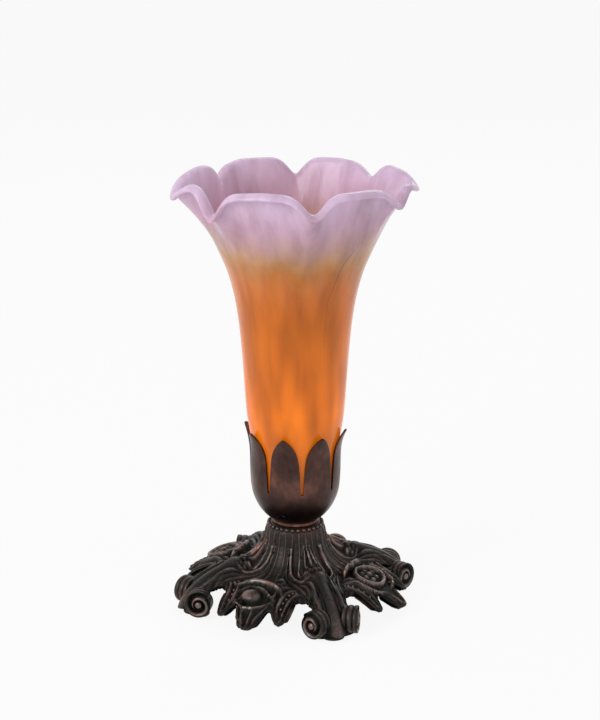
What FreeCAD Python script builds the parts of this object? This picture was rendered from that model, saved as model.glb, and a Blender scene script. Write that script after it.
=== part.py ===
import FreeCAD, Part
import math
import os
import Sketcher

# Accent lamp: a ruffled glass lily shade standing in a leaf cup on a cast four-footed base.
# Millimetres, +Z up, the origin on the table under the lamp's axis. The lamp is seen from -Y.

Vector = FreeCAD.Vector
doc = FreeCAD.newDocument("accent_lamp")

# Driving dimensions: name, value, what it is.
SIZES = (
    ("pad_thickness", 1.0, "felt under each foot"),
    ("pad_radius", 5.0, "felt disc"),
    ("foot_count", 4, "feet on the casting"),
    ("foot_turn", 20.0, "degrees from +X to a foot"),
    ("foot_reach", 49.0, "axis of the lamp to the middle of a scroll"),
    ("scroll_radius", 6.4, "scroll at the end of a leg"),
    ("scroll_thickness", 7.5, "one scroll from face to face"),
    ("scroll_aside", 8.2, "middle of a leg to the middle of a scroll"),
    ("scroll_splay", 60.0, "degrees between a leg and the way a scroll faces"),
    ("scroll_eye_radius", 1.9, "raised eye of a scroll"),
    ("scroll_eye_rise", 0.9, "eye above the scroll's face"),
    ("spiral_radius", 5.3, "outer turn of the groove in a scroll's face"),
    ("spiral_step", 0.85, "what the groove's radius loses in half a turn"),
    ("spiral_width", 0.9, "groove in a scroll's face"),
    ("spiral_depth", 0.8, "groove in a scroll's face"),
    ("casting_height", 37.0, "casting from its feet to the top of its neck"),
    ("neck_radius", 11.0, "flat top of the neck"),
    ("shoulder_radius", 12.9, "sloping shoulder that carries the beads"),
    ("shoulder_drop", 1.5, "height of the sloping shoulder"),
    ("skirt_radius", 13.4, "top of the fluted skirt"),
    ("skirt_drop", 4.4, "top of the neck to the top of the skirt's curve"),
    ("skirt_curve", 17.5, "radius of the skirt's hollow curve"),
    ("skirt_sweep", 70.0, "degrees of the skirt's hollow curve"),
    ("casting_wall", 2.8, "wall of the casting"),
    ("deck_thickness", 4.0, "top of the neck, which the pipe goes through"),
    ("leaf_reach", 56.0, "axis to the tip of the middle leaf of a side"),
    ("side_leaf_reach", 51.0, "axis to the tips of the leaves beside it"),
    ("leaf_gap_reach", 45.0, "axis to the gaps between leaves"),
    ("arch_reach", 40.0, "axis to the top of the arch beside a leg"),
    ("leaf_curve", 15.0, "radius of a leaf's edge"),
    ("arch_curve", 6.4, "radius of the arch beside a leg"),
    ("rim_height", 5.0, "underside of the leaf tips above the table"),
    ("rim_edge", 2.4, "thickness of the rim at the leaf tips"),
    ("apron_reach", 41.0, "axis to the bend in the apron outside the skirt"),
    ("apron_height", 14.6, "top of the apron at its bend, above the table"),
    ("leaf_spread", 17.0, "degrees from a side's middle leaf to the next"),
    ("leaf_half_angle", 8.0, "degrees, half the width of a leaf at its root"),
    ("leg_root_set_in", 1.5, "leg's root inside the skirt"),
    ("leg_root_width", 5.0, "leg where it leaves the neck"),
    ("leg_root_drop", 1.0, "underside of the deck to the top of a leg's root"),
    ("leg_root_depth", 5.0, "leg's root from top to bottom"),
    ("leg_knee_width", 9.5, "leg at the knee"),
    ("leg_knee_height", 22.4, "top of a leg at the knee, above the table"),
    ("leg_knee_sink", 4.0, "underside of a leg below the apron at the knee"),
    ("leg_shin_set_in", 9.0, "leg's shin from the middle of a scroll, towards the axis"),
    ("leg_shin_width", 13.0, "leg at the shin"),
    ("leg_shin_height", 18.0, "top of a leg at the shin, above the table"),
    ("leg_toe_set_in", 1.0, "leg's toe from the middle of a scroll, towards the axis"),
    ("leg_toe_width", 15.0, "leg between its scrolls"),
    ("leg_toe_height", 12.6, "top of a leg between its scrolls, above the table"),
    ("leg_tip_out", 5.2, "leg's tip from the middle of a scroll, outwards"),
    ("leg_tip_width", 7.0, "leg at its tip"),
    ("leg_tip_height", 5.0, "top of a leg at its tip, above the table"),
    ("flute_count", 24, "ribs between the flutes of the neck"),
    ("flute_rib_width", 1.2, "one rib"),
    ("flute_rib_rise", 0.9, "rib above the skirt"),
    ("frond_rise", 0.9, "frond bands above the plane over the apron"),
    ("frond_sink", 3.2, "frond bands below that plane, inside the apron's wall"),
    ("frond_turn", 28.5, "degrees from a side's middle to the opening of an arch"),
    ("frond_reach", 49.0, "axis to the middle of an arch's opening"),
    ("frond_radius", 9.8, "inner edge of the frond band nearest to an arch"),
    ("frond_pitch", 4.4, "from one frond band to the next"),
    ("frond_width", 2.4, "one frond band"),
    ("leaf_rib_start", 5.0, "bend of the apron to the rib of the middle leaf"),
    ("leaf_rib_length", 9.5, "rib of the middle leaf"),
    ("leaf_rib_width", 2.4, "rib of the middle leaf at its root"),
    ("boss_reach", 39.5, "axis to the oval bosses on two of the sides"),
    ("boss_length", 5.2, "half length of an oval boss, round the lamp"),
    ("boss_width", 4.1, "half width of an oval boss"),
    ("boss_rise", 3.2, "oval boss above the apron"),
    ("eye_length", 9.6, "half length of the frame round an oval boss"),
    ("eye_width", 6.2, "half width of that frame"),
    ("eye_band", 1.4, "width of that frame's band"),
    ("eye_rise", 1.8, "that frame above the apron"),
    ("hood_width", 9.4, "boss to the outer edge of the hood on its neck side"),
    ("hood_rise", 4.6, "hood above the apron"),
    ("bowl_reach", 36.0, "axis to the berry bowls on the other two sides"),
    ("bowl_radius", 6.2, "middle of a berry bowl's rim"),
    ("bowl_band", 2.2, "width of that rim"),
    ("bowl_rise", 2.6, "rim of a berry bowl above the apron"),
    ("bowl_hood_rise", 5.2, "calyx on the neck side of a berry bowl, above the apron"),
    ("bowl_hood_width", 9.6, "middle of a berry bowl to the calyx's outer edge"),
    ("berry_count", 6, "berries round the middle one"),
    ("berry_radius", 1.6, "one berry at its root"),
    ("berry_taper", 14.0, "degrees that a berry narrows"),
    ("berry_ring", 3.6, "middle berry to the others"),
    ("berry_rise", 2.2, "berries above the apron"),
    ("hole_clearance", 0.25, "round the pipe in each plate"),
    ("pipe_radius", 4.85, "outside of the threaded pipe"),
    ("pipe_bore", 3.3, "radius of the wireway"),
    ("pipe_below", 9.0, "pipe below the deck"),
    ("pipe_above", 1.6, "pipe above the socket bracket"),
    ("base_washer_radius", 9.2, "wide washer under the deck"),
    ("base_washer_thickness", 1.2, "wide washer under the deck"),
    ("lock_washer_radius", 7.4, "toothed washer under the wide one"),
    ("lock_washer_thickness", 0.9, "toothed washer"),
    ("lock_washer_teeth", 8, "teeth of the toothed washer"),
    ("lock_tooth_width", 1.6, "gap between two teeth"),
    ("lock_tooth_depth", 1.3, "gap between two teeth"),
    ("nut_across", 14.0, "hexagon nut across its flats"),
    ("base_nut_thickness", 3.6, "nut that pulls the pipe down"),
    ("cup_nut_thickness", 3.0, "nut that clamps the cup"),
    ("bushing_flange_radius", 5.6, "flange of the bushing at the pipe's lower end"),
    ("bushing_flange", 1.4, "thickness of that flange"),
    ("bushing_sleeve", 4.0, "sleeve of the bushing inside the pipe"),
    ("bushing_bore", 2.4, "radius of the cord's way in"),
    ("bushing_fit", 0.05, "sleeve inside the pipe's bore"),
    ("ring_height", 2.2, "turned ring between neck and cup"),
    ("ring_radius", 11.0, "turned ring"),
    ("cup_base_radius", 10.4, "flat base of the cup"),
    ("cup_heel_height", 2.3, "sloping heel between the base and the bowl"),
    ("cup_radius", 20.2, "cup where its bowl ends"),
    ("bowl_depth", 16.8, "height of the cup's bowl, a part of a sphere"),
    ("cup_sheet", 1.0, "spun sheet of the cup"),
    ("collar_radius", 20.8, "cup where its petals start to curl"),
    ("collar_height", 18.0, "straight wall above the bowl"),
    ("curl_height", 8.6, "curled tips above the straight wall"),
    ("curl_out", 3.1, "how far the tips curl outwards"),
    ("petal_count", 8, "petals cut in the cup"),
    ("petal_turn", -12.0, "degrees from +X to a petal's middle"),
    ("slot_bottom", 16.4, "foot of a slot above the cup's base"),
    ("slot_half_width", 0.9, "half the width of a slot at its foot"),
    ("slot_shoulder", 29.0, "height where the petals start to narrow"),
    ("slot_shoulder_half", 1.5, "half the width of a slot there"),
    ("petal_edge_curve", 17.0, "radius of a petal's narrowing edge"),
    ("vent_radius", 1.1, "vent hole near the base of the cup"),
    ("vent_turn", -111.0, "degrees from +X to the vent hole"),
    ("vent_height", 4.4, "vent hole above the cup's base"),
    ("cup_washer_radius", 8.4, "washer on the floor of the cup"),
    ("cup_washer_thickness", 1.0, "washer on the floor of the cup"),
    ("cushion_radius", 12.5, "inside of the felt ring under the glass"),
    ("cushion_height", 6.0, "top of the felt ring above the cup's base"),
    ("bracket_sheet", 1.2, "strip steel of the socket bracket"),
    ("bracket_radius", 8.4, "round foot of the bracket"),
    ("strap_width", 7.0, "upright of the bracket"),
    ("strap_height", 11.5, "upright above the bracket's foot"),
    ("socket_gap", 1.5, "room for the leads between pipe and socket"),
    ("socket_radius", 8.6, "moulded body of the socket"),
    ("socket_height", 22.0, "moulded body of the socket"),
    ("socket_floor", 4.2, "floor of the moulded body"),
    ("socket_cavity", 6.9, "radius inside the moulded body"),
    ("shell_fit", 0.15, "screw shell inside the moulded body"),
    ("shell_sheet", 0.4, "brass of the screw shell"),
    ("shell_below_top", 1.0, "screw shell below the socket's mouth"),
    ("shell_flange", 4.2, "radius of the opening in the shell's floor"),
    ("contact_width", 3.0, "spring strip under the bulb"),
    ("contact_half_length", 3.4, "half of that strip"),
    ("contact_rise", 1.3, "top of the strip above the socket's floor"),
    ("contact_sheet", 0.4, "bronze of that strip"),
    ("terminal_head_radius", 2.0, "terminal screw"),
    ("terminal_head", 1.1, "height of its head"),
    ("terminal_shank_radius", 1.2, "terminal screw"),
    ("terminal_shank", 3.2, "length of its shank"),
    ("terminal_slot", 0.6, "screwdriver slot"),
    ("terminal_recess", 2.4, "pocket in the socket for a screw head"),
    ("rivet_radius", 1.1, "rivet that joins bracket and socket"),
    ("rivet_head_radius", 2.0, "head of that rivet"),
    ("rivet_head", 0.7, "height of its head"),
    ("rivet_depth", 3.0, "rivet inside the socket's floor"),
    ("shade_turn", 10.6, "degrees from +X to the middle of a lobe"),
    ("lobe_count", 6, "ruffled lobes of the shade"),
    ("shade_facets", 8, "flat columns in one lobe"),
    ("glass_wall", 2.4, "glass in the stem of the shade"),
    ("lip_wall", 1.9, "glass at the lip"),
    ("shade_foot_radius", 15.1, "outside of the glass at its foot"),
    ("heel_radius", 17.6, "glass curving up out of its foot"),
    ("heel_height", 4.3, "above the foot of the glass"),
    ("sleeve_radius", 18.8, "glass inside the bowl of the cup"),
    ("sleeve_height", 11.3, "above the foot of the glass"),
    ("glass_cup_gap", 0.45, "between glass and cup at the collar"),
    ("petal_level_radius", 20.9, "glass between the petals"),
    ("petal_level_height", 35.8, "above the foot of the glass"),
    ("stem_radius", 22.1, "glass just above the petals"),
    ("stem_height", 43.8, "above the foot of the glass"),
    ("stem_middle_radius", 23.4, "glass half way up the stem"),
    ("stem_middle_height", 64.8, "above the foot of the glass"),
    ("throat_radius", 25.4, "glass where the bell begins to open"),
    ("throat_height", 87.8, "above the foot of the glass"),
    ("bell_radius", 28.4, "glass in the bell"),
    ("bell_height", 103.8, "above the foot of the glass"),
    ("flare_radius", 32.4, "glass in the flare"),
    ("flare_height", 115.3, "above the foot of the glass"),
    ("lobe_root_radius", 37.2, "glass where the lobes begin"),
    ("lobe_root_height", 125.8, "above the foot of the glass"),
    ("lobe_side_radius", 41.4, "side of a lobe"),
    ("lobe_side_height", 137.3, "above the foot of the glass"),
    ("lobe_neck_radius", 44.6, "lobe below its crest"),
    ("lobe_neck_height", 148.8, "above the foot of the glass"),
    ("crest_radius", 46.2, "crest of a lobe"),
    ("crest_height", 153.4, "above the foot of the glass"),
    ("roll_radius", 47.6, "top of a rolled edge"),
    ("roll_height", 155.0, "above the foot of the glass"),
    ("roll_rim_radius", 49.6, "rim of a lobe whose edge is only rolled"),
    ("roll_rim_height", 154.4, "above the foot of the glass"),
    ("hang_radius", 49.4, "bend of the two lobes that hang outwards"),
    ("hang_height", 152.6, "above the foot of the glass"),
    ("hang_rim_radius", 53.6, "rim of the two lobes that hang outwards"),
    ("hang_rim_height", 144.3, "above the foot of the glass"),
    ("notch_root_radius", 42.6, "fold below a notch"),
    ("notch_root_height", 133.2, "above the foot of the glass"),
    ("notch_middle_radius", 47.3, "fold below a notch"),
    ("notch_middle_height", 139.4, "above the foot of the glass"),
    ("notch_radius", 52.0, "rim in a notch"),
    ("notch_height", 145.6, "above the foot of the glass"),
    ("lobe_fullness", 0.62, "power of the wave: small is broad lobes and sharp notches"),
    ("bulb_length", 54.0, "bulb from its contact to its tip"),
    ("bulb_radius", 11.0, "widest part of the bulb"),
    ("bulb_shoulder_radius", 8.2, "glass above the cap"),
    ("bulb_crown_radius", 8.6, "glass near the tip"),
    ("bulb_peak_radius", 4.4, "glass close to the tip"),
    ("bulb_shoulder_height", 6.5, "shoulder above the cap"),
    ("bulb_waist_height", 15.0, "start of the widest part above the cap"),
    ("bulb_brow_below", 15.0, "end of the widest part below the tip"),
    ("bulb_crown_below", 6.5, "crown below the tip"),
    ("bulb_peak_below", 1.7, "peak below the tip"),
    ("bulb_wall", 0.7, "glass of the bulb"),
    ("cap_radius", 5.85, "outside of the screw cap"),
    ("cap_sheet", 0.3, "brass of the screw cap"),
    ("cap_length", 14.5, "screw cap"),
    ("insulator_height", 1.5, "dark glass between cap and contact"),
    ("insulator_top", 4.9, "radius of the insulator under the cap"),
    ("insulator_bottom", 2.7, "radius of the insulator over the contact"),
    ("tip_radius", 2.2, "contact of the bulb"),
    ("tip_height", 0.9, "contact of the bulb"),
    ("mount_radius", 1.7, "glass mount of the filament"),
    ("mount_height", 15.0, "glass mount of the filament"),
    ("lead_radius", 0.35, "one lead wire"),
    ("lead_rise", 9.0, "lead wires above the mount"),
    ("lead_spread", 4.6, "from the axis to the end of a lead wire"),
    ("lead_root", 0.9, "from the axis to the root of a lead wire"),
    ("filament_radius", 0.3, "coiled filament, as a solid wire"),
    ("filament_rise", 3.0, "top of the filament above its ends"),
    ("mount_flare_height", 2.0, "flared foot of the glass mount"),
    ("cap_heel_height", 2.0, "narrow foot of the screw cap"),
)

# Places and sizes that follow from the driving dimensions: name, formula.
PLACES = (
    ("foot_bottom", "Sizes.pad_thickness"),
    ("scroll_level", "foot_bottom + Sizes.scroll_radius"),
    ("neck_top", "foot_bottom + Sizes.casting_height"),
    ("shoulder_level", "neck_top - Sizes.shoulder_drop"),
    ("skirt_top", "neck_top - Sizes.skirt_drop"),
    ("skirt_centre", "Sizes.skirt_radius + Sizes.skirt_curve"),
    ("leg_root_reach", "Sizes.skirt_radius - Sizes.leg_root_set_in"),
    ("knee_radius", "skirt_centre - Sizes.skirt_curve * cos(Sizes.skirt_sweep * 1 deg)"),
    ("knee_level", "skirt_top - Sizes.skirt_curve * sin(Sizes.skirt_sweep * 1 deg)"),
    ("rib_curve", "Sizes.skirt_curve - Sizes.flute_rib_rise"),
    ("inner_curve", "Sizes.skirt_curve + Sizes.casting_wall"),
    ("deck_level", "neck_top - Sizes.deck_thickness"),
    ("inner_skirt_radius", "Sizes.skirt_radius - Sizes.casting_wall"),
    ("plan_radius", "Sizes.leaf_reach + 1"),
    ("rim_top", "Sizes.rim_height + Sizes.rim_edge"),
    ("apron_inner", "Sizes.apron_height - Sizes.casting_wall"),
    ("leg_root_top", "deck_level - Sizes.leg_root_drop"),
    ("leg_root_bottom", "leg_root_top - Sizes.leg_root_depth"),
    ("leg_knee_bottom", "knee_level - Sizes.leg_knee_sink"),
    ("leg_shin_reach", "Sizes.foot_reach - Sizes.leg_shin_set_in"),
    ("leg_toe_reach", "Sizes.foot_reach - Sizes.leg_toe_set_in"),
    ("leg_tip_reach", "Sizes.foot_reach + Sizes.leg_tip_out"),
    ("spiral_inner", "Sizes.spiral_radius - 2 * Sizes.spiral_step"),
    ("apron_drop", "knee_level - Sizes.apron_height"),
    ("inner_slope", "atan(apron_drop / (Sizes.apron_reach - knee_radius)) / 1 deg"),
    ("whole_slope", "atan((knee_level - rim_top) / (plan_radius - knee_radius)) / 1 deg"),
    ("apron_fall", "apron_drop / (Sizes.apron_reach - knee_radius)"),
    ("boss_level", "Sizes.apron_height + (Sizes.apron_reach - Sizes.boss_reach) * apron_fall"),
    ("bowl_level", "Sizes.apron_height + (Sizes.apron_reach - Sizes.bowl_reach) * apron_fall"),
    ("frond_out", "(Sizes.frond_reach * cos(Sizes.frond_turn * 1 deg) - Sizes.apron_reach)"
                  " / cos(whole_slope * 1 deg)"),
    ("frond_aside", "Sizes.frond_reach * sin(Sizes.frond_turn * 1 deg)"),
    ("boss_count", "Sizes.foot_count / 2"),
    ("stock_radius", "Sizes.leaf_reach + 30"),
    ("pipe_hole", "Sizes.pipe_radius + Sizes.hole_clearance"),
    ("base_washer_level", "deck_level - Sizes.base_washer_thickness"),
    ("lock_washer_level", "base_washer_level - Sizes.lock_washer_thickness"),
    ("base_nut_level", "lock_washer_level - Sizes.base_nut_thickness"),
    ("pipe_bottom", "deck_level - Sizes.pipe_below"),
    ("bushing_level", "pipe_bottom - Sizes.bushing_flange"),
    ("bushing_top", "pipe_bottom + Sizes.bushing_sleeve"),
    ("bushing_radius", "Sizes.pipe_bore - Sizes.bushing_fit"),
    ("cup_base", "neck_top + Sizes.ring_height"),
    ("ring_flat", "Sizes.ring_radius - Sizes.ring_height / 4"),
    ("ring_low", "neck_top + Sizes.ring_height / 4"),
    ("ring_high", "cup_base - Sizes.ring_height / 4"),
    ("cup_floor", "cup_base + Sizes.cup_sheet"),
    ("bowl_top", "cup_base + Sizes.bowl_depth"),
    ("cup_heel", "cup_base + Sizes.cup_heel_height"),
    ("cup_heel_radius", "sqrt(Sizes.cup_radius ^ 2 - (bowl_top - cup_heel) ^ 2)"),
    ("cup_inner", "Sizes.cup_radius - Sizes.cup_sheet"),
    ("floor_radius", "sqrt(cup_inner ^ 2 - (bowl_top - cup_floor) ^ 2)"),
    ("collar_top", "bowl_top + Sizes.collar_height"),
    ("collar_inner", "Sizes.collar_radius - Sizes.cup_sheet"),
    ("petal_tip_radius", "Sizes.collar_radius + Sizes.curl_out"),
    ("petal_tip", "collar_top + Sizes.curl_height"),
    ("petal_lean", "atan(Sizes.curl_out / Sizes.curl_height)"),
    ("petal_inner_radius", "petal_tip_radius - Sizes.cup_sheet * cos(petal_lean)"),
    ("petal_inner_tip", "petal_tip + Sizes.cup_sheet * sin(petal_lean)"),
    ("slot_foot", "cup_base + Sizes.slot_bottom + Sizes.slot_half_width"),
    ("slot_knee", "cup_base + Sizes.slot_shoulder"),
    ("slot_top", "petal_inner_tip + 2"),
    ("petal_half_pitch", "petal_tip_radius * tan(180 deg / Sizes.petal_count)"),
    ("slot_turn", "Sizes.petal_turn + 180 / Sizes.petal_count"),
    ("vent_level", "cup_base + Sizes.vent_height"),
    ("vent_facing", "Sizes.vent_turn + 90 - slot_turn"),
    ("cup_washer_top", "cup_floor + Sizes.cup_washer_thickness"),
    ("cup_nut_top", "cup_washer_top + Sizes.cup_nut_thickness"),
    ("cushion_top", "cup_base + Sizes.cushion_height"),
    ("cushion_outer", "sqrt(cup_inner ^ 2 - (bowl_top - cushion_top) ^ 2)"),
    ("cushion_foot", "bowl_top - sqrt(cup_inner ^ 2 - Sizes.cushion_radius ^ 2)"),
    ("bracket_top", "cup_nut_top + Sizes.bracket_sheet"),
    ("pipe_top", "bracket_top + Sizes.pipe_above"),
    ("socket_bottom", "pipe_top + Sizes.socket_gap"),
    ("socket_top", "socket_bottom + Sizes.socket_height"),
    ("socket_seat", "socket_bottom + Sizes.socket_floor"),
    ("strap_inner", "Sizes.socket_radius + 0.1"),
    ("strap_outer", "strap_inner + Sizes.bracket_sheet"),
    ("strap_top", "bracket_top + Sizes.strap_height"),
    ("rivet_level", "socket_bottom + Sizes.socket_floor / 2"),
    ("rivet_inner", "Sizes.socket_radius - Sizes.rivet_depth"),
    ("shell_radius", "Sizes.socket_cavity - Sizes.shell_fit"),
    ("shell_inner", "shell_radius - Sizes.shell_sheet"),
    ("shell_floor", "socket_seat + Sizes.shell_sheet"),
    ("shell_top", "socket_top - Sizes.shell_below_top"),
    ("contact_top", "socket_seat + Sizes.contact_rise"),
    ("terminal_level", "socket_bottom + Sizes.socket_floor / 2"),
    ("recess_radius", "Sizes.terminal_head_radius + 0.1"),
    ("recess_floor", "Sizes.socket_radius - Sizes.terminal_recess"),
    ("shank_floor", "recess_floor - Sizes.terminal_shank"),
    ("head_top", "recess_floor + Sizes.terminal_head"),
    ("shade_foot", "cushion_top"),
    ("glass_in_collar", "collar_inner - Sizes.glass_cup_gap"),
    ("collar_on_glass", "collar_top - shade_foot"),
    ("bulb_bottom", "contact_top"),
    ("insulator_level", "bulb_bottom + Sizes.tip_height"),
    ("cap_level", "insulator_level + Sizes.insulator_height"),
    ("cap_top", "cap_level + Sizes.cap_length"),
    ("bulb_tip", "bulb_bottom + Sizes.bulb_length"),
    ("bulb_shoulder", "cap_top + Sizes.bulb_shoulder_height"),
    ("bulb_waist", "cap_top + Sizes.bulb_waist_height"),
    ("bulb_brow", "bulb_tip - Sizes.bulb_brow_below"),
    ("bulb_crown", "bulb_tip - Sizes.bulb_crown_below"),
    ("bulb_peak", "bulb_tip - Sizes.bulb_peak_below"),
    ("cap_heel", "cap_level + Sizes.cap_heel_height"),
    ("bulb_neck", "Sizes.cap_radius - Sizes.cap_sheet"),
    ("mount_flare", "bulb_neck - Sizes.bulb_wall"),
    ("mount_level", "cap_top - Sizes.cap_length / 4"),
    ("mount_rim_top", "mount_level + Sizes.bulb_wall"),
    ("mount_flare_top", "mount_level + Sizes.mount_flare_height"),
    ("mount_top", "mount_level + Sizes.mount_height"),
    ("lead_top", "mount_top + Sizes.lead_rise"),
)

sizes = doc.addObject("Spreadsheet::Sheet", "Sizes")
for row, (name, value, words) in enumerate(SIZES, start=1):
    sizes.set(f"A{row}", name)
    sizes.set(f"B{row}", str(value))
    sizes.setAlias(f"B{row}", name)
    sizes.set(f"C{row}", words)
doc.recompute()

places = doc.addObject("Spreadsheet::Sheet", "Places")
for row, (name, formula) in enumerate(PLACES, start=1):
    places.set(f"A{row}", name)
    places.set(f"B{row}", "=" + formula)
    places.setAlias(f"B{row}", name)
    doc.recompute([places])
doc.recompute()
SIZE_NAMES = {name for name, value, words in SIZES}
sub_parts = []


def ref(name):
    """The expression that reads a named size or place."""
    return ("Sizes." if name in SIZE_NAMES else "Places.") + name


def num(name):
    """The number behind a named size or place."""
    sheet = sizes if name in SIZE_NAMES else places
    return float(sheet.get(name))


def keep(item, label):
    """Hand a finished sub-part in under its node name."""
    item.Label = label
    sub_parts.append(item)
    return item


def new_body(name):
    return doc.addObject("PartDesign::Body", name)


def origin_of(body, role):
    for feature in body.Origin.OriginFeatures:
        if feature.Role == role:
            return feature
    raise RuntimeError("no origin feature " + role)


def sketch_on(body, role, name):
    sketch = body.newObject("Sketcher::SketchObject", name)
    sketch.AttachmentSupport = [(origin_of(body, role), "")]
    sketch.MapMode = "FlatFace"
    return sketch


def pin(sketch, geometry, end, along, value, formula):
    """Tie one coordinate of a sketch point to a formula, measured from the sketch's origin."""
    if abs(value) < 1e-9:
        axis = -2 if along == "DistanceX" else -1
        sketch.addConstraint(Sketcher.Constraint("PointOnObject", geometry, end, axis))
        return
    if value > 0:
        tie = Sketcher.Constraint(along, -1, 1, geometry, end, value)
    else:
        tie = Sketcher.Constraint(along, geometry, end, -1, 1, -value)
        formula = "-(" + formula + ")"
    index = sketch.addConstraint(tie)
    sketch.setExpression(f"Constraints[{index}]", formula)


def coordinate(item):
    """A named size, a (number, formula) pair, or 0 for a point on an axis."""
    if item == 0:
        return 0.0, "0"
    if isinstance(item, str):
        return num(item), ref(item)
    return item


def negative(item):
    value, formula = coordinate(item)
    return -value, "-(" + formula + ")"


def polar(reach, degrees, formula):
    """Both coordinates of a point at a reach from the axis, with its angle also as a formula."""
    angle = math.radians(degrees)
    across = (num(reach) * math.cos(angle), f"{ref(reach)} * cos(({formula}) * 1 deg)")
    along = (num(reach) * math.sin(angle), f"{ref(reach)} * sin(({formula}) * 1 deg)")
    return across, along


def outline(sketch, corners, curves=None):
    """Draw a closed outline. curves maps an edge's number to the name of its radius and the side
    of the way round on which its centre lies, 1 for the left and -1 for the right."""
    curves = curves or {}
    count = len(corners)
    points = []
    for across, up in corners:
        points.append(Vector(coordinate(across)[0], coordinate(up)[0], 0))
    first = sketch.GeometryCount
    ends = []
    for number in range(count):
        start = points[number]
        finish = points[(number + 1) % count]
        if number in curves:
            radius_name, side = curves[number]
            radius = coordinate(radius_name)[0]
            chord = finish - start
            half = chord.Length / 2
            normal = Vector(-chord.y, chord.x, 0).normalize() * side
            centre = (start + finish) * 0.5 + normal * math.sqrt(max(radius ** 2 - half ** 2, 0))
            low, high = (start, finish) if side > 0 else (finish, start)
            circle = Part.Circle(centre, Vector(0, 0, 1), radius)
            arc = Part.ArcOfCircle(circle, circle.parameter(low), circle.parameter(high))
            sketch.addGeometry(arc, False)
            ends.append((1, 2) if side > 0 else (2, 1))
        else:
            sketch.addGeometry(Part.LineSegment(start, finish), False)
            ends.append((1, 2))
    for number in range(count):
        following = (number + 1) % count
        joint = Sketcher.Constraint("Coincident", first + number, ends[number][1],
                                    first + following, ends[following][0])
        sketch.addConstraint(joint)
    for number, (across, up) in enumerate(corners):
        pin(sketch, first + number, ends[number][0], "DistanceX", *coordinate(across))
        pin(sketch, first + number, ends[number][0], "DistanceY", *coordinate(up))
    for number, (radius_name, side) in curves.items():
        value, formula = coordinate(radius_name)
        chord = points[(number + 1) % count] - points[number]
        if abs(chord.Length - 2 * value) < 1e-6:
            # A half circle's centre lies on its chord.
            across, up = corners[number]
            if abs(chord.x) < 1e-6:
                pin(sketch, first + number, 3, "DistanceX", *coordinate(across))
            else:
                pin(sketch, first + number, 3, "DistanceY", *coordinate(up))
            continue
        tie = sketch.addConstraint(Sketcher.Constraint("Radius", first + number, value))
        sketch.setExpression(f"Constraints[{tie}]", formula)


def ring_hole(sketch, across, up, radius):
    """Draw a circle of a named radius."""
    centre = Vector(coordinate(across)[0], coordinate(up)[0], 0)
    value, formula = coordinate(radius)
    number = sketch.addGeometry(Part.Circle(centre, Vector(0, 0, 1), value), False)
    pin(sketch, number, 3, "DistanceX", *coordinate(across))
    pin(sketch, number, 3, "DistanceY", *coordinate(up))
    tie = sketch.addConstraint(Sketcher.Constraint("Radius", number, value))
    sketch.setExpression(f"Constraints[{tie}]", formula)


def turn(body, corners, curves=None, name="Profile"):
    """Revolve a section, drawn as radius and height, about the lamp's axis."""
    section = sketch_on(body, "XZ_Plane", name)
    outline(section, corners, curves)
    turned = body.newObject("PartDesign::Revolution", name + "Turned")
    turned.Profile = section
    turned.ReferenceAxis = (section, ["V_Axis"])
    turned.Angle = 360.0
    return turned


def turned_part(label, corners, curves=None):
    body = new_body(label)
    turn(body, corners, curves)
    return keep(body, label)


def ring_part(label, inner, outer, bottom, top):
    return turned_part(label, ((inner, bottom), (outer, bottom), (outer, top), (inner, top)))


def repeat(body, features, count_name, name, angle=360.0):
    """Repeat features round the lamp's axis."""
    pattern = body.newObject("PartDesign::PolarPattern", name)
    pattern.Originals = features
    pattern.Axis = (origin_of(body, "Z_Axis"), [""])
    pattern.Angle = angle
    if isinstance(count_name, str):
        pattern.setExpression("Occurrences", ref(count_name))
    else:
        pattern.Occurrences = count_name
    body.Tip = pattern
    return pattern


def set_turn(body, name):
    """Turn a whole sub-part about the lamp's axis by a named angle."""
    body.Placement = FreeCAD.Placement(Vector(), FreeCAD.Rotation(Vector(0, 0, 1), num(name)))
    body.setExpression("Placement.Rotation.Angle", ref(name))


def hexagon_nut(label, bottom, top, thickness):
    """A nut with its corners cut back as on a turned blank."""
    blank = doc.addObject("Part::Prism", label + "_blank")
    blank.Polygon = 6
    blank.setExpression("Circumradius", "Sizes.nut_across / 2 / cos(30 deg)")
    blank.setExpression("Height", ref(thickness))
    blank.setExpression("Placement.Base.z", ref(bottom))
    hole = doc.addObject("Part::Cylinder", label + "_hole")
    hole.setExpression("Radius", "Sizes.pipe_radius")
    hole.setExpression("Height", ref(thickness) + " + 2")
    hole.setExpression("Placement.Base.z", ref(bottom) + " - 1")
    cone = doc.addObject("Part::Cone", label + "_chamfer")
    cone.setExpression("Radius1", f"Sizes.nut_across / 2 + {ref(thickness)} * 1.6")
    cone.setExpression("Radius2", "Sizes.nut_across / 2")
    cone.setExpression("Height", ref(thickness))
    cone.setExpression("Placement.Base.z", ref(bottom))
    shaped = doc.addObject("Part::Common", label + "_shaped")
    shaped.Base = blank
    shaped.Tool = cone
    nut = doc.addObject("Part::Cut", label)
    nut.Base = shaped
    nut.Tool = hole
    return keep(nut, label)


# The cast foot

SKIRT_STEPS = 5
RIB_STEPS = 2


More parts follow.
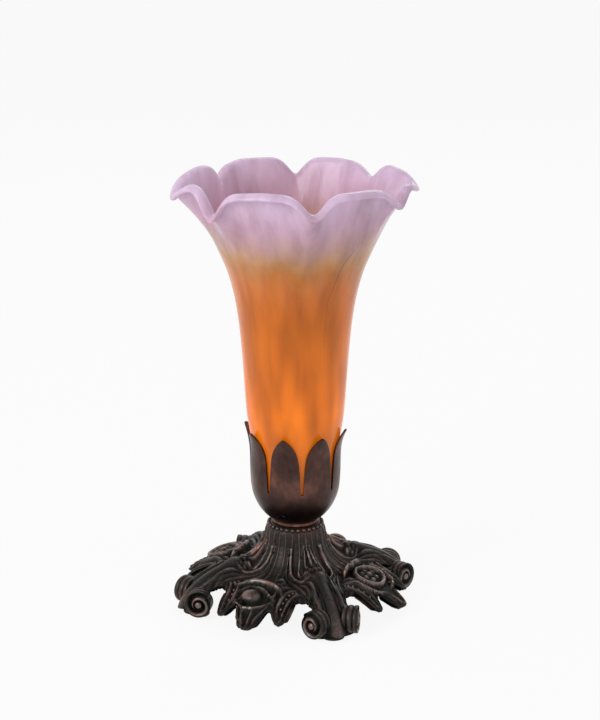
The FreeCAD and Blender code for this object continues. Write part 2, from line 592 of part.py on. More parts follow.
def leaf_plan():
    """The casting's outline seen from above: a leg, an arch, three leaves and an arch in each
    quarter. It starts at the arch after the first leg."""
    corners = []
    curves = {}
    quarter = 360.0 / num("foot_count")
    spread = num("leaf_spread")
    half = num("leaf_half_angle")
    for foot in range(int(num("foot_count"))):
        base = f"{foot} * 360 / Sizes.foot_count"
        side = f"{base} + 180 / Sizes.foot_count"
        start = foot * quarter
        middle = start + quarter / 2
        corners.append(polar("leaf_gap_reach", start - half, base + " - Sizes.leaf_half_angle"))
        curves[len(corners)] = ("arch_curve", -1)
        corners.append(polar("leaf_gap_reach", start + half, base + " + Sizes.leaf_half_angle"))
        first_root = f"{side} - Sizes.leaf_spread - Sizes.leaf_half_angle"
        corners.append(polar("arch_reach", middle - spread - half, first_root))
        for step in (-1, 0, 1):
            reach = "leaf_reach" if step == 0 else "side_leaf_reach"
            tip = f"{side} + {step} * Sizes.leaf_spread"
            root = f"{tip} + Sizes.leaf_half_angle"
            curves[len(corners) - 1] = ("leaf_curve", 1)
            curves[len(corners)] = ("leaf_curve", 1)
            corners.append(polar(reach, middle + step * spread, tip))
            corners.append(polar("arch_reach" if step == 1 else "leaf_gap_reach",
                                 middle + step * spread + half, root))
        curves[len(corners) - 1] = ("arch_curve", -1)
    return corners, curves


# A leg's section, as shares of its height and of its half width.
LEG_WAIST = 0.5
LEG_BROW = 0.84
LEG_SHOULDER = 0.78
LEG_CROWN = 0.36
LEG_STATIONS = (
    ("leg_root_reach", "leg_root_width", "leg_root_top", "leg_root_bottom"),
    ("knee_radius", "leg_knee_width", "leg_knee_height", "leg_knee_bottom"),
    ("leg_shin_reach", "leg_shin_width", "leg_shin_height", "scroll_level"),
    ("leg_toe_reach", "leg_toe_width", "leg_toe_height", "foot_bottom"),
    ("leg_tip_reach", "leg_tip_width", "leg_tip_height", "foot_bottom"),
)


def part_way(low, high, share):
    """A place between two others, as a number and a formula."""
    low_value, low_formula = coordinate(low)
    high_value, high_formula = coordinate(high)
    return (low_value + (high_value - low_value) * share,
            f"{low_formula} + ({high_formula} - ({low_formula})) * {share}")


def times(item, factor):
    value, formula = coordinate(item)
    return value * factor, f"({formula}) * {factor}"


def add_leg(body):
    """One leg: crowned sections across it, from the neck over the knee down to the scrolls."""
    sections = []
    for number, (reach, width, top, bottom) in enumerate(LEG_STATIONS):
        section = sketch_on(body, "YZ_Plane", f"LegSection{number}")
        section.AttachmentOffset = FreeCAD.Placement(Vector(0, 0, num(reach)), FreeCAD.Rotation())
        section.setExpression("AttachmentOffset.Base.z", ref(reach))
        half = times(width, 0.5)
        shoulder = times(half, LEG_SHOULDER)
        crown = times(half, LEG_CROWN)
        waist = part_way(bottom, top, LEG_WAIST)
        brow = part_way(bottom, top, LEG_BROW)
        outline(section, (
            (negative(half), bottom), (half, bottom), (half, waist), (shoulder, brow), (crown, top),
            (negative(crown), top), (negative(shoulder), brow), (negative(half), waist),
        ))
        sections.append(section)
    leg = body.newObject("PartDesign::AdditiveLoft", "Leg")
    leg.Profile = sections[0]
    leg.Sections = sections[1:]
    leg.Ruled = True
    return leg


def place_by_formula(item, across, along, up, yaw, pitch):
    """Set a sketch's offset on its plane by formulas, with its turn as yaw and pitch in degrees."""
    spot = f"create(<<vector>>; {across}; {along}; {up})"
    facing = f"create(<<rotation>>; {yaw}; {pitch}; 0)"
    item.setExpression("AttachmentOffset", f"create(<<placement>>; {spot}; {facing})")


def scroll_face(body, side, name):
    """A sketch on the outer face of a scroll. side is -1 or 1, the side of its leg."""
    sketch = sketch_on(body, "XZ_Plane", name)
    facing = f"(90 + {side} * Sizes.scroll_splay)"
    place_by_formula(
        sketch, f"Sizes.foot_reach + Sizes.scroll_thickness / 2 * sin({facing} * 1 deg)",
        ref("scroll_level"),
        f"Sizes.scroll_thickness / 2 * cos({facing} * 1 deg) - {side} * Sizes.scroll_aside",
        0, facing)
    return sketch


def add_scroll(body, side):
    """A scroll: a drum with a raised eye and a groove that winds round it in half circles."""
    drum = scroll_face(body, side, "ScrollOutline")
    ring_hole(drum, 0, 0, "scroll_radius")
    scroll = body.newObject("PartDesign::Pad", "Scroll")
    scroll.Profile = drum
    scroll.Reversed = True
    scroll.setExpression("Length", ref("scroll_thickness"))
    centre = scroll_face(body, side, "ScrollEye")
    ring_hole(centre, 0, 0, "scroll_eye_radius")
    eye = body.newObject("PartDesign::Pad", "Eye")
    eye.Profile = centre
    eye.Midplane = True
    eye.setExpression("Length", "2 * Sizes.scroll_eye_rise")
    winding = scroll_face(body, side, "ScrollSpiral")
    outer = coordinate("spiral_radius")
    middle = coordinate("spiral_inner")
    outer_wall = (outer[0] - num("spiral_width"), "Sizes.spiral_radius - Sizes.spiral_width")
    middle_wall = (middle[0] - num("spiral_width"), "Places.spiral_inner - Sizes.spiral_width")
    stops = [outer, negative(outer), middle, negative(middle), negative(middle_wall), middle_wall,
             negative(outer_wall), outer_wall]
    if side < 0:
        stops = [negative(stop) for stop in stops]
    curves = {}
    for edge in (0, 1, 2, 4, 5, 6):
        start, finish = stops[edge], stops[edge + 1]
        radius = (abs(start[0] - finish[0]) / 2, f"abs({start[1]} - ({finish[1]})) / 2")
        curves[edge] = (radius, side if edge < 3 else -side)
    outline(winding, [(stop, 0) for stop in stops], curves)
    groove = body.newObject("PartDesign::Pocket", "Groove")
    groove.Profile = winding
    groove.setExpression("Length", ref("spiral_depth"))
    return [scroll, eye, groove]


# Ornament on the apron. A side is counted in half turns from one leg to the next: 1 is the side
# after the first leg, where the oval bosses start, and -1 the side before it, with a berry bowl.

def apron_sketch(body, side, reach, level, slope, name, lift="0"):
    """A sketch that lies on the apron: its x runs outwards down the slope, its y round the lamp.
    lift is a formula for its height above the apron, square to it."""
    sketch = sketch_on(body, "XY_Plane", name)
    turn_there = f"({side} * 180 / Sizes.foot_count)"
    tilt = f"({ref(slope)} * 1 deg)"
    out = f"({ref(reach)} + ({lift}) * sin{tilt})"
    place_by_formula(
        sketch, f"{out} * cos({turn_there} * 1 deg)", f"{out} * sin({turn_there} * 1 deg)",
        f"{ref(level)} + ({lift}) * cos{tilt}", turn_there, ref(slope))
    return sketch


def pad_both_ways(body, sketch, rise, sink, name):
    """Raise an outline above its plane and sink it into the wall below."""
    pad = body.newObject("PartDesign::Pad", name)
    pad.Profile = sketch
    pad.SideType = "Two sides"
    pad.setExpression("Length", ref(rise))
    pad.setExpression("Length2", ref(sink))
    return pad


# Degrees round an arch's opening from the leaf's end of each band to the leg's end.
FROND_ENDS = ((-68, -210), (-88, -196))
LEAF_RIB_TAPER = 0.3


def add_fronds(body):
    """Bands that run round the arch beside each leg and out along the leaves, and a leaf's rib."""
    sketch = apron_sketch(body, 1, "apron_reach", "apron_height", "whole_slope", "FrondBands")
    for hand in (-1, 1):
        for band, (leaf_end, leg_end) in enumerate(FROND_ENDS):
            inner = (num("frond_radius") + band * num("frond_pitch"),
                     f"Sizes.frond_radius + {band} * Sizes.frond_pitch")
            outer = (inner[0] + num("frond_width"), inner[1] + " + Sizes.frond_width")
            corners = []
            for radius, degrees in ((outer, leaf_end), (outer, leg_end), (inner, leg_end),
                                    (inner, leaf_end)):
                angle = math.radians(degrees)
                across = (num("frond_out") + radius[0] * math.cos(angle),
                          f"Places.frond_out + ({radius[1]}) * cos({degrees} deg)")
                along = (num("frond_aside") + radius[0] * math.sin(angle),
                         f"Places.frond_aside + ({radius[1]}) * sin({degrees} deg)")
                corners.append((across, along if hand > 0 else negative(along)))
            outline(sketch, corners, {0: (outer, -hand), 2: (inner, hand)})
    root = times("leaf_rib_width", 0.5)
    tip = times(root, LEAF_RIB_TAPER)
    end = (num("leaf_rib_start") + num("leaf_rib_length"),
           "Sizes.leaf_rib_start + Sizes.leaf_rib_length")
    outline(sketch, (
        ("leaf_rib_start", negative(root)), (end, negative(tip)), (end, tip), ("leaf_rib_start", root),
    ))
    return pad_both_ways(body, sketch, "frond_rise", "frond_sink", "Fronds")


def bow(length, width):
    """The radius of an arc over a chord of twice this length, this far from its middle."""
    long_value, long_formula = coordinate(length)
    wide_value, wide_formula = coordinate(width)
    return ((long_value ** 2 + wide_value ** 2) / (2 * wide_value),
            f"(({long_formula}) ^ 2 + ({wide_formula}) ^ 2) / (2 * ({wide_formula}))")


OVAL_CORNERS = 12
# How many bands the eye-shaped frame is wide at its corners.
EYE_CORNER = 1.5
# Levels of an oval boss: height as a share of its rise, and size as a share of its oval.
BOSS_LEVELS = ((-0.6, 1.0), (0.35, 0.93), (0.8, 0.66), (1.0, 0.28))


def add_boss(body):
    """An oval boss in an eye-shaped frame, under a hood on the side of the neck."""
    stations = []
    for number, (height, share) in enumerate(BOSS_LEVELS):
        oval = apron_sketch(body, 1, "boss_reach", "boss_level", "inner_slope", f"BossLevel{number}",
                            f"Sizes.boss_rise * {height}")
        corners = []
        for corner in range(OVAL_CORNERS):
            degrees = 360 * (corner + 0.5) / OVAL_CORNERS
            angle = math.radians(degrees)
            corners.append((
                (num("boss_width") * share * math.cos(angle),
                 f"Sizes.boss_width * {share} * cos({degrees} deg)"),
                (num("boss_length") * share * math.sin(angle),
                 f"Sizes.boss_length * {share} * sin({degrees} deg)"),
            ))
        outline(oval, corners)
        stations.append(oval)
    boss = body.newObject("PartDesign::AdditiveLoft", "Boss")
    boss.Profile = stations[0]
    boss.Sections = stations[1:]
    boss.Ruled = True
    frame = apron_sketch(body, 1, "boss_reach", "boss_level", "inner_slope", "EyeFrame")
    inner_length = (num("eye_length") - EYE_CORNER * num("eye_band"),
                    f"Sizes.eye_length - {EYE_CORNER} * Sizes.eye_band")
    inner_width = (num("eye_width") - num("eye_band"), "Sizes.eye_width - Sizes.eye_band")
    for length, width in (("eye_length", "eye_width"), (inner_length, inner_width)):
        edge = bow(length, width)
        outline(frame, ((0, negative(length)), (0, length)), {0: (edge, 1), 1: (edge, 1)})
    eye = pad_both_ways(body, frame, "eye_rise", "frond_sink", "EyeFrameBand")
    crescent = apron_sketch(body, 1, "boss_reach", "boss_level", "inner_slope", "HoodOutline")
    outline(crescent, ((0, negative("eye_length")), (0, "eye_length")),
            {0: (bow("eye_length", "eye_width"), -1), 1: (bow("eye_length", "hood_width"), 1)})
    hood = pad_both_ways(body, crescent, "hood_rise", "frond_sink", "Hood")
    return [boss, eye, hood]


def add_bowl(body):
    """A bowl of berries with a calyx leaf on the side of the neck."""
    rim = apron_sketch(body, -1, "bowl_reach", "bowl_level", "inner_slope", "BowlRim")
    outer = (num("bowl_radius") + num("bowl_band") / 2, "Sizes.bowl_radius + Sizes.bowl_band / 2")
    inner = (num("bowl_radius") - num("bowl_band") / 2, "Sizes.bowl_radius - Sizes.bowl_band / 2")
    ring_hole(rim, 0, 0, outer)
    ring_hole(rim, 0, 0, inner)
    bowl = pad_both_ways(body, rim, "bowl_rise", "eye_band", "Bowl")
    leaf = apron_sketch(body, -1, "bowl_reach", "bowl_level", "inner_slope", "CalyxLeaf")
    calyx_edge = bow(outer, "bowl_hood_width")
    outline(leaf, ((0, negative(outer)), (0, outer)), {0: (outer, -1), 1: (calyx_edge, 1)})
    calyx = pad_both_ways(body, leaf, "bowl_hood_rise", "eye_band", "Calyx")
    fruit = apron_sketch(body, -1, "bowl_reach", "bowl_level", "inner_slope", "BerryOutlines",
                         "-Sizes.eye_band")
    ring_hole(fruit, 0, 0, "berry_radius")
    for number in range(int(num("berry_count"))):
        angle = 2 * math.pi * number / num("berry_count")
        spin = f"({number} * 360 deg / Sizes.berry_count)"
        across = (num("berry_ring") * math.cos(angle), f"Sizes.berry_ring * cos{spin}")
        along = (num("berry_ring") * math.sin(angle), f"Sizes.berry_ring * sin{spin}")
        ring_hole(fruit, across, along, "berry_radius")
    berries = body.newObject("PartDesign::Pad", "Berries")
    berries.Profile = fruit
    berries.setExpression("Length", "Sizes.berry_rise + Sizes.eye_band")
    berries.setExpression("TaperAngle", "-Sizes.berry_taper * 1 deg")
    return [bowl, calyx, berries]


def skirt_points(radius_name, steps):
    """Points down the skirt's hollow curve, for the given radius about its centre."""
    radius, radius_formula = coordinate(radius_name)
    sweep = num("skirt_sweep")
    points = []
    for step in range(steps + 1):
        share = step / steps
        turned = math.radians(sweep * share)
        angle = f"Sizes.skirt_sweep * {share} * 1 deg"
        across = (num("skirt_centre") - radius * math.cos(turned),
                  f"Places.skirt_centre - {radius_formula} * cos({angle})")
        up = (num("skirt_top") - radius * math.sin(turned),
              f"Places.skirt_top - {radius_formula} * sin({angle})")
        points.append((across, up))
    return points


def make_foot():
    body = new_body("foot_casting")
    inside = skirt_points("inner_curve", SKIRT_STEPS)
    outside = skirt_points("skirt_curve", SKIRT_STEPS)
    turn(body, (
        ("pipe_hole", "neck_top"), ("pipe_hole", "deck_level"), ("inner_skirt_radius", "deck_level"),
        *inside, ("apron_reach", "apron_inner"), ("plan_radius", "rim_height"),
        ("plan_radius", "rim_top"), ("apron_reach", "apron_height"), *reversed(outside),
        ("shoulder_radius", "shoulder_level"), ("neck_radius", "neck_top"),
    ), None, "Bell")
    plan = sketch_on(body, "XY_Plane", "LeafPlan")
    ring_hole(plan, 0, 0, "stock_radius")
    corners, curves = leaf_plan()
    outline(plan, corners, curves)
    trim = body.newObject("PartDesign::Pocket", "LeafEdge")
    trim.Profile = plan
    trim.Type = "ThroughAll"
    trim.Midplane = True
    repeat(body, [add_fronds(body)], "foot_count", "FrondsRound")
    repeat(body, add_boss(body), "boss_count", "Bosses")
    repeat(body, add_bowl(body), "boss_count", "Bowls")
    leg = add_leg(body)
    scrolls = add_scroll(body, -1) + add_scroll(body, 1)
    sole = sketch_on(body, "XY_Plane", "SoleOutline")
    sole.AttachmentOffset = FreeCAD.Placement(Vector(0, 0, num("foot_bottom")), FreeCAD.Rotation())
    sole.setExpression("AttachmentOffset.Base.z", ref("foot_bottom"))
    ring_hole(sole, "foot_reach", 0, "pad_radius")
    soles = body.newObject("PartDesign::Pad", "Sole")
    soles.Profile = sole
    soles.setExpression("Length", ref("scroll_radius"))
    repeat(body, [leg, *scrolls, soles], "foot_count", "Legs")
    rib = sketch_on(body, "XZ_Plane", "RibOutline")
    rib_back = skirt_points("rib_curve", RIB_STEPS)
    outline(rib, (*skirt_points("inner_curve", RIB_STEPS), *reversed(rib_back)))
    ribs = body.newObject("PartDesign::Pad", "Rib")
    ribs.Profile = rib
    ribs.Midplane = True
    ribs.setExpression("Length", ref("flute_rib_width"))
    repeat(body, [ribs], "flute_count", "Ribs")
    # The faces of so many features are left as they meet, because merging them takes minutes.
    for feature in body.Group:
        if "Refine" in feature.PropertiesList:
            feature.Refine = False
    set_turn(body, "foot_turn")
    return keep(body, "foot_casting")


def make_pads():
    pads = []
    for foot in range(int(num("foot_count"))):
        pad = doc.addObject("Part::Cylinder", f"felt_pad_{foot}")
        pad.setExpression("Radius", ref("pad_radius"))
        pad.setExpression("Height", ref("pad_thickness"))
        angle = f"(Sizes.foot_turn + {foot} * 360 / Sizes.foot_count) * 1 deg"
        pad.setExpression("Placement.Base.x", f"Sizes.foot_reach * cos({angle})")
        pad.setExpression("Placement.Base.y", f"Sizes.foot_reach * sin({angle})")
        pads.append(pad)
    group = doc.addObject("Part::Compound", "felt_pads")
    group.Links = pads
    return keep(group, "felt_pads")


# The clamped stack on the pipe

def make_stack():
    ring_part("lamp_pipe", "pipe_bore", "pipe_radius", "pipe_bottom", "pipe_top")
    ring_part("base_washer", "pipe_hole", "base_washer_radius", "base_washer_level", "deck_level")
    washer = new_body("base_lock_washer")
    turn(washer, (
        ("pipe_hole", "lock_washer_level"), ("lock_washer_radius", "lock_washer_level"),
        ("lock_washer_radius", "base_washer_level"), ("pipe_hole", "base_washer_level"),
    ))
    gap = sketch_on(washer, "XY_Plane", "ToothGap")
    inner = (num("lock_washer_radius") - num("lock_tooth_depth"),
             "Sizes.lock_washer_radius - Sizes.lock_tooth_depth")
    outer = (num("lock_washer_radius") + 1, "Sizes.lock_washer_radius + 1")
    half = (num("lock_tooth_width") / 2, "Sizes.lock_tooth_width / 2")
    outline(gap, ((inner, negative(half)), (outer, negative(half)), (outer, half), (inner, half)))
    cut = washer.newObject("PartDesign::Pocket", "ToothGaps")
    cut.Profile = gap
    cut.Type = "ThroughAll"
    cut.Midplane = True
    repeat(washer, [cut], "lock_washer_teeth", "Teeth")
    keep(washer, "base_lock_washer")
    hexagon_nut("base_hex_nut", "base_nut_level", "lock_washer_level", "base_nut_thickness")
    turned_part("pipe_end_bushing", (
        ("bushing_bore", "bushing_level"), ("bushing_flange_radius", "bushing_level"),
        ("bushing_flange_radius", "pipe_bottom"), ("bushing_radius", "pipe_bottom"),
        ("bushing_radius", "bushing_top"), ("bushing_bore", "bushing_top"),
    ))
    turned_part("seating_ring", (
        ("pipe_hole", "neck_top"), ("ring_flat", "neck_top"), ("ring_radius", "ring_low"),
        ("ring_radius", "ring_high"), ("ring_flat", "cup_base"), ("pipe_hole", "cup_base"),
    ))
    ring_part("cup_washer", "pipe_hole", "cup_washer_radius", "cup_floor", "cup_washer_top")
    hexagon_nut("cup_lock_nut", "cup_washer_top", "cup_nut_top", "cup_nut_thickness")


# The leaf cup

def make_cup():
    body = new_body("leaf_cup")
    turn(body, (
        ("pipe_hole", "cup_base"), ("cup_base_radius", "cup_base"),
        ("cup_heel_radius", "cup_heel"), ("cup_radius", "bowl_top"),
        ("collar_radius", "collar_top"), ("petal_tip_radius", "petal_tip"),
        ("petal_inner_radius", "petal_inner_tip"), ("collar_inner", "collar_top"),
        ("cup_inner", "bowl_top"), ("floor_radius", "cup_floor"), ("pipe_hole", "cup_floor"),
    ), {2: ("cup_radius", 1), 8: ("cup_inner", -1)}, "Calyx")
    slot = sketch_on(body, "YZ_Plane", "SlotOutline")
    outline(slot, (
        (negative("slot_half_width"), "slot_foot"), ("slot_half_width", "slot_foot"),
        ("slot_shoulder_half", "slot_knee"), ("petal_half_pitch", "petal_tip"),
        ("petal_half_pitch", "slot_top"), (negative("petal_half_pitch"), "slot_top"),
        (negative("petal_half_pitch"), "petal_tip"), (negative("slot_shoulder_half"), "slot_knee"),
    ), {
        0: ("slot_half_width", 1), 2: ("petal_edge_curve", -1), 6: ("petal_edge_curve", -1),
    })
    cut = body.newObject("PartDesign::Pocket", "Slot")
    cut.Profile = slot
    cut.Type = "ThroughAll"
    cut.Reversed = True
    slots = repeat(body, [cut], "petal_count", "Slots")
    vent = sketch_on(body, "XZ_Plane", "VentHole")
    facing = FreeCAD.Rotation(Vector(0, 1, 0), num("vent_facing"))
    vent.AttachmentOffset = FreeCAD.Placement(Vector(), facing)
    vent.setExpression("AttachmentOffset.Rotation.Angle", "Places.vent_facing * 1 deg")
    ring_hole(vent, 0, "vent_level", "vent_radius")
    drill = body.newObject("PartDesign::Pocket", "VentDrill")
    drill.Profile = vent
    drill.Type = "ThroughAll"
    drill.Reversed = True
    if drill.BaseFeature != slots:
        raise RuntimeError("the vent hole must follow the slots")
    set_turn(body, "slot_turn")
    return keep(body, "leaf_cup")


def make_cushion():
    turned_part("shade_cushion_ring", (
        ("cushion_radius", "cushion_foot"), ("cushion_outer", "cushion_top"),
        ("cushion_radius", "cushion_top"),
    ))


# The lamp holder

def make_socket():
    bracket = new_body("socket_bracket")
    foot = sketch_on(bracket, "XY_Plane", "BracketFoot")
    foot.AttachmentOffset = FreeCAD.Placement(Vector(0, 0, num("cup_nut_top")), FreeCAD.Rotation())
    foot.setExpression("AttachmentOffset.Base.z", ref("cup_nut_top"))
    ring_hole(foot, 0, 0, "bracket_radius")
    ring_hole(foot, 0, 0, "pipe_hole")
    plate = bracket.newObject("PartDesign::Pad", "FootPlate")
    plate.Profile = foot
    plate.setExpression("Length", ref("bracket_sheet"))
    side = sketch_on(bracket, "XZ_Plane", "StrapOutline")
    root = (num("pipe_hole") + 1.5, "Places.pipe_hole + 1.5")
    outline(side, (
        (root, "cup_nut_top"), ("strap_outer", "cup_nut_top"), ("strap_outer", "strap_top"),
        ("strap_inner", "strap_top"), ("strap_inner", "bracket_top"), (root, "bracket_top"),
    ))
    strap = bracket.newObject("PartDesign::Pad", "Strap")
    strap.Profile = side
    strap.Midplane = True
    strap.setExpression("Length", ref("strap_width"))
    hole = sketch_on(bracket, "YZ_Plane", "RivetHole")
    ring_hole(hole, 0, "rivet_level", "rivet_radius")
    drill = bracket.newObject("PartDesign::Pocket", "RivetDrill")
    drill.Profile = hole
    drill.Type = "ThroughAll"
    drill.Reversed = True
    keep(bracket, "socket_bracket")

    body = new_body("socket_body")
    turn(body, (
        (0, "socket_bottom"), ("socket_radius", "socket_bottom"), ("socket_radius", "socket_top"),
        ("socket_cavity", "socket_top"), ("socket_cavity", "socket_seat"), (0, "socket_seat"),
    ))
    for name, sign in (("Front", 1), ("Back", -1)):
        recess = sketch_on(body, "XZ_Plane", "Recess" + name)
        recess.AttachmentOffset = FreeCAD.Placement(
            Vector(0, 0, sign * num("recess_floor")), FreeCAD.Rotation())
        recess.setExpression("AttachmentOffset.Base.z", f"{sign} * Places.recess_floor")
        ring_hole(recess, 0, "terminal_level", "recess_radius")
        drill = body.newObject("PartDesign::Pocket", "RecessDrill" + name)
        drill.Profile = recess
        drill.Type = "ThroughAll"
        drill.Reversed = sign > 0
        shank = sketch_on(body, "XZ_Plane", "ShankHole" + name)
        shank.AttachmentOffset = FreeCAD.Placement(
            Vector(0, 0, sign * num("shank_floor")), FreeCAD.Rotation())
        shank.setExpression("AttachmentOffset.Base.z", f"{sign} * Places.shank_floor")
        ring_hole(shank, 0, "terminal_level", "terminal_shank_radius")
        tap = body.newObject("PartDesign::Pocket", "ShankDrill" + name)
        tap.Profile = shank
        tap.Type = "ThroughAll"
        tap.Reversed = sign > 0
    seat = sketch_on(body, "YZ_Plane", "RivetSeat")
    seat.AttachmentOffset = FreeCAD.Placement(Vector(0, 0, num("rivet_inner")), FreeCAD.Rotation())
    seat.setExpression("AttachmentOffset.Base.z", ref("rivet_inner"))
    ring_hole(seat, 0, "rivet_level", "rivet_radius")
    bore = body.newObject("PartDesign::Pocket", "RivetBore")
    bore.Profile = seat
    bore.Type = "ThroughAll"
    bore.Reversed = True
    keep(body, "socket_body")


def make_socket_metal():
    turned_part("socket_screw_shell", (
        ("shell_flange", "socket_seat"), ("shell_radius", "socket_seat"), ("shell_radius", "shell_top"),
        ("shell_inner", "shell_top"), ("shell_inner", "shell_floor"), ("shell_flange", "shell_floor"),
    ))
    contact = new_body("socket_centre_contact")
    strip = sketch_on(contact, "XZ_Plane", "SpringStrip")
    flat = (num("contact_half_length") * 0.45, "Sizes.contact_half_length * 0.45")
    under = (num("contact_top") - num("contact_sheet"), "Places.contact_top - Sizes.contact_sheet")
    inner_end = (num("contact_half_length") - num("contact_sheet") * 1.5,
                 "Sizes.contact_half_length - Sizes.contact_sheet * 1.5")
    outline(strip, (
        (negative("contact_half_length"), "socket_seat"), (negative(inner_end), "socket_seat"),
        (negative(flat), under), (flat, under), (inner_end, "socket_seat"),
        ("contact_half_length", "socket_seat"), (flat, "contact_top"), (negative(flat), "contact_top"),
    ))
    pad = contact.newObject("PartDesign::Pad", "Strip")
    pad.Profile = strip
    pad.Midplane = True
    pad.setExpression("Length", ref("contact_width"))
    keep(contact, "socket_centre_contact")

    screws = []
    for name, sign in (("front", -1), ("back", 1)):
        turn_back = FreeCAD.Rotation(Vector(1, 0, 0), -90 * sign)
        shank = doc.addObject("Part::Cylinder", f"terminal_shank_{name}")
        shank.setExpression("Radius", ref("terminal_shank_radius"))
        shank.setExpression("Height", ref("terminal_shank"))
        shank.Placement = FreeCAD.Placement(Vector(), turn_back)
        shank.setExpression("Placement.Base.y", f"{sign} * Places.shank_floor")
        shank.setExpression("Placement.Base.z", ref("terminal_level"))
        head = doc.addObject("Part::Cylinder", f"terminal_head_{name}")
        head.setExpression("Radius", ref("terminal_head_radius"))
        head.setExpression("Height", ref("terminal_head"))
        head.Placement = FreeCAD.Placement(Vector(), turn_back)
        head.setExpression("Placement.Base.y", f"{sign} * Places.recess_floor")
        head.setExpression("Placement.Base.z", ref("terminal_level"))
        whole = doc.addObject("Part::Fuse", f"terminal_blank_{name}")
        whole.Base = head
        whole.Tool = shank
        slot = doc.addObject("Part::Box", f"terminal_slot_{name}")
        slot.setExpression("Length", "2 * Sizes.terminal_head_radius + 2")
        slot.setExpression("Width", "Sizes.terminal_head")
        slot.setExpression("Height", ref("terminal_slot"))
        slot.setExpression("Placement.Base.x", "-Sizes.terminal_head_radius - 1")
        slot_side = "Places.head_top - Sizes.terminal_head / 2"
        if sign < 0:
            slot_side = "-Places.head_top - Sizes.terminal_head / 2"
        slot.setExpression("Placement.Base.y", slot_side)
        slot.setExpression("Placement.Base.z", "Places.terminal_level - Sizes.terminal_slot / 2")
        cut = doc.addObject("Part::Cut", f"terminal_screw_{name}")
        cut.Base = whole
        cut.Tool = slot
        screws.append(cut)
    group = doc.addObject("Part::Compound", "socket_terminal_screws")
    group.Links = screws
    keep(group, "socket_terminal_screws")

    lying = FreeCAD.Rotation(Vector(0, 1, 0), 90)
    stem = doc.addObject("Part::Cylinder", "rivet_stem")
    stem.setExpression("Radius", ref("rivet_radius"))
    stem.setExpression("Height", "Places.strap_outer - Places.rivet_inner")
    stem.Placement = FreeCAD.Placement(Vector(), lying)
    stem.setExpression("Placement.Base.x", ref("rivet_inner"))
    stem.setExpression("Placement.Base.z", ref("rivet_level"))
    dome = doc.addObject("Part::Cone", "rivet_dome")
    dome.setExpression("Radius1", ref("rivet_head_radius"))
    dome.setExpression("Radius2", "Sizes.rivet_head_radius * 0.6")
    dome.setExpression("Height", ref("rivet_head"))
    dome.Placement = FreeCAD.Placement(Vector(), lying)
    dome.setExpression("Placement.Base.x", ref("strap_outer"))
    dome.setExpression("Placement.Base.z", ref("rivet_level"))
    rivet = doc.addObject("Part::Fuse", "socket_rivet")
    rivet.Base = dome
    rivet.Tool = stem
    keep(rivet, "socket_rivet")


# The glass shade

SHADE_STEM = (
    ("heel_radius", "heel_height"), ("sleeve_radius", "sleeve_height"),
    ("glass_in_collar", "collar_on_glass"), ("petal_level_radius", "petal_level_height"),
    ("stem_radius", "stem_height"), ("stem_middle_radius", "stem_middle_height"),
    ("throat_radius", "throat_height"), ("bell_radius", "bell_height"),
    ("flare_radius", "flare_height"), ("lobe_root_radius", "lobe_root_height"),
)
SHADE_LOBE = (
    ("lobe_side_radius", "lobe_side_height"), ("lobe_neck_radius", "lobe_neck_height"),
    ("crest_radius", "crest_height"),
)
SHADE_ROLL = (("roll_radius", "roll_height"), ("roll_rim_radius", "roll_rim_height"))
SHADE_HANG = (("hang_radius", "hang_height"), ("hang_rim_radius", "hang_rim_height"))
NOTCH_STEPS = (0.0, 0.5, 0.75, 0.9, 1.0)


def measured(pairs):
    return [(num(radius), num(height)) for radius, height in pairs]


def between(first, second, share):
    return tuple(a + (b - a) * share for a, b in zip(first, second))


def notch_points():
    """The fold below a notch, from the root of the lobes out to the rim."""
    root, middle, rim = measured((("notch_root_radius", "notch_root_height"),
                                  ("notch_middle_radius", "notch_middle_height"),
                                  ("notch_radius", "notch_height")))
    points = []
    for step in NOTCH_STEPS:
        if step < 0.5:
            points.append(between(root, middle, step * 2))
        else:
            points.append(between(middle, rim, step * 2 - 1))
    return points


def shade_section(lobe, share):
    """The outer skin in one upright plane. share runs from 0 in the middle of a lobe to 1 in the
    middle of the next, so that the notch is at 0.5."""
    half = int(num("lobe_count")) // 2
    nearest = lobe if share < 0.5 else lobe + 1
    ends = SHADE_HANG if nearest % half == 0 else SHADE_ROLL
    wave = abs(math.cos(math.pi * share)) ** num("lobe_fullness")
    section = [(num("shade_foot_radius"), 0.0)] + measured(SHADE_STEM)
    for notch, crest in zip(notch_points(), measured(SHADE_LOBE + ends)):
        section.append(between(notch, crest, wave))
    return section


def inner_skin(section):
    """The inner skin of a section, one wall away, thinner towards the lip."""
    last = len(section) - 1
    skin = [(section[0][0] - num("glass_wall"), 0.0)]
    for number in range(1, last + 1):
        before = section[number - 1]
        after = section[min(number + 1, last)]
        out = after[0] - before[0]
        up = after[1] - before[1]
        length = math.hypot(out, up)
        wall = num("glass_wall") + (num("lip_wall") - num("glass_wall")) * number / last
        radius, height = section[number]
        skin.append((radius - up / length * wall, height + out / length * wall))
    return skin


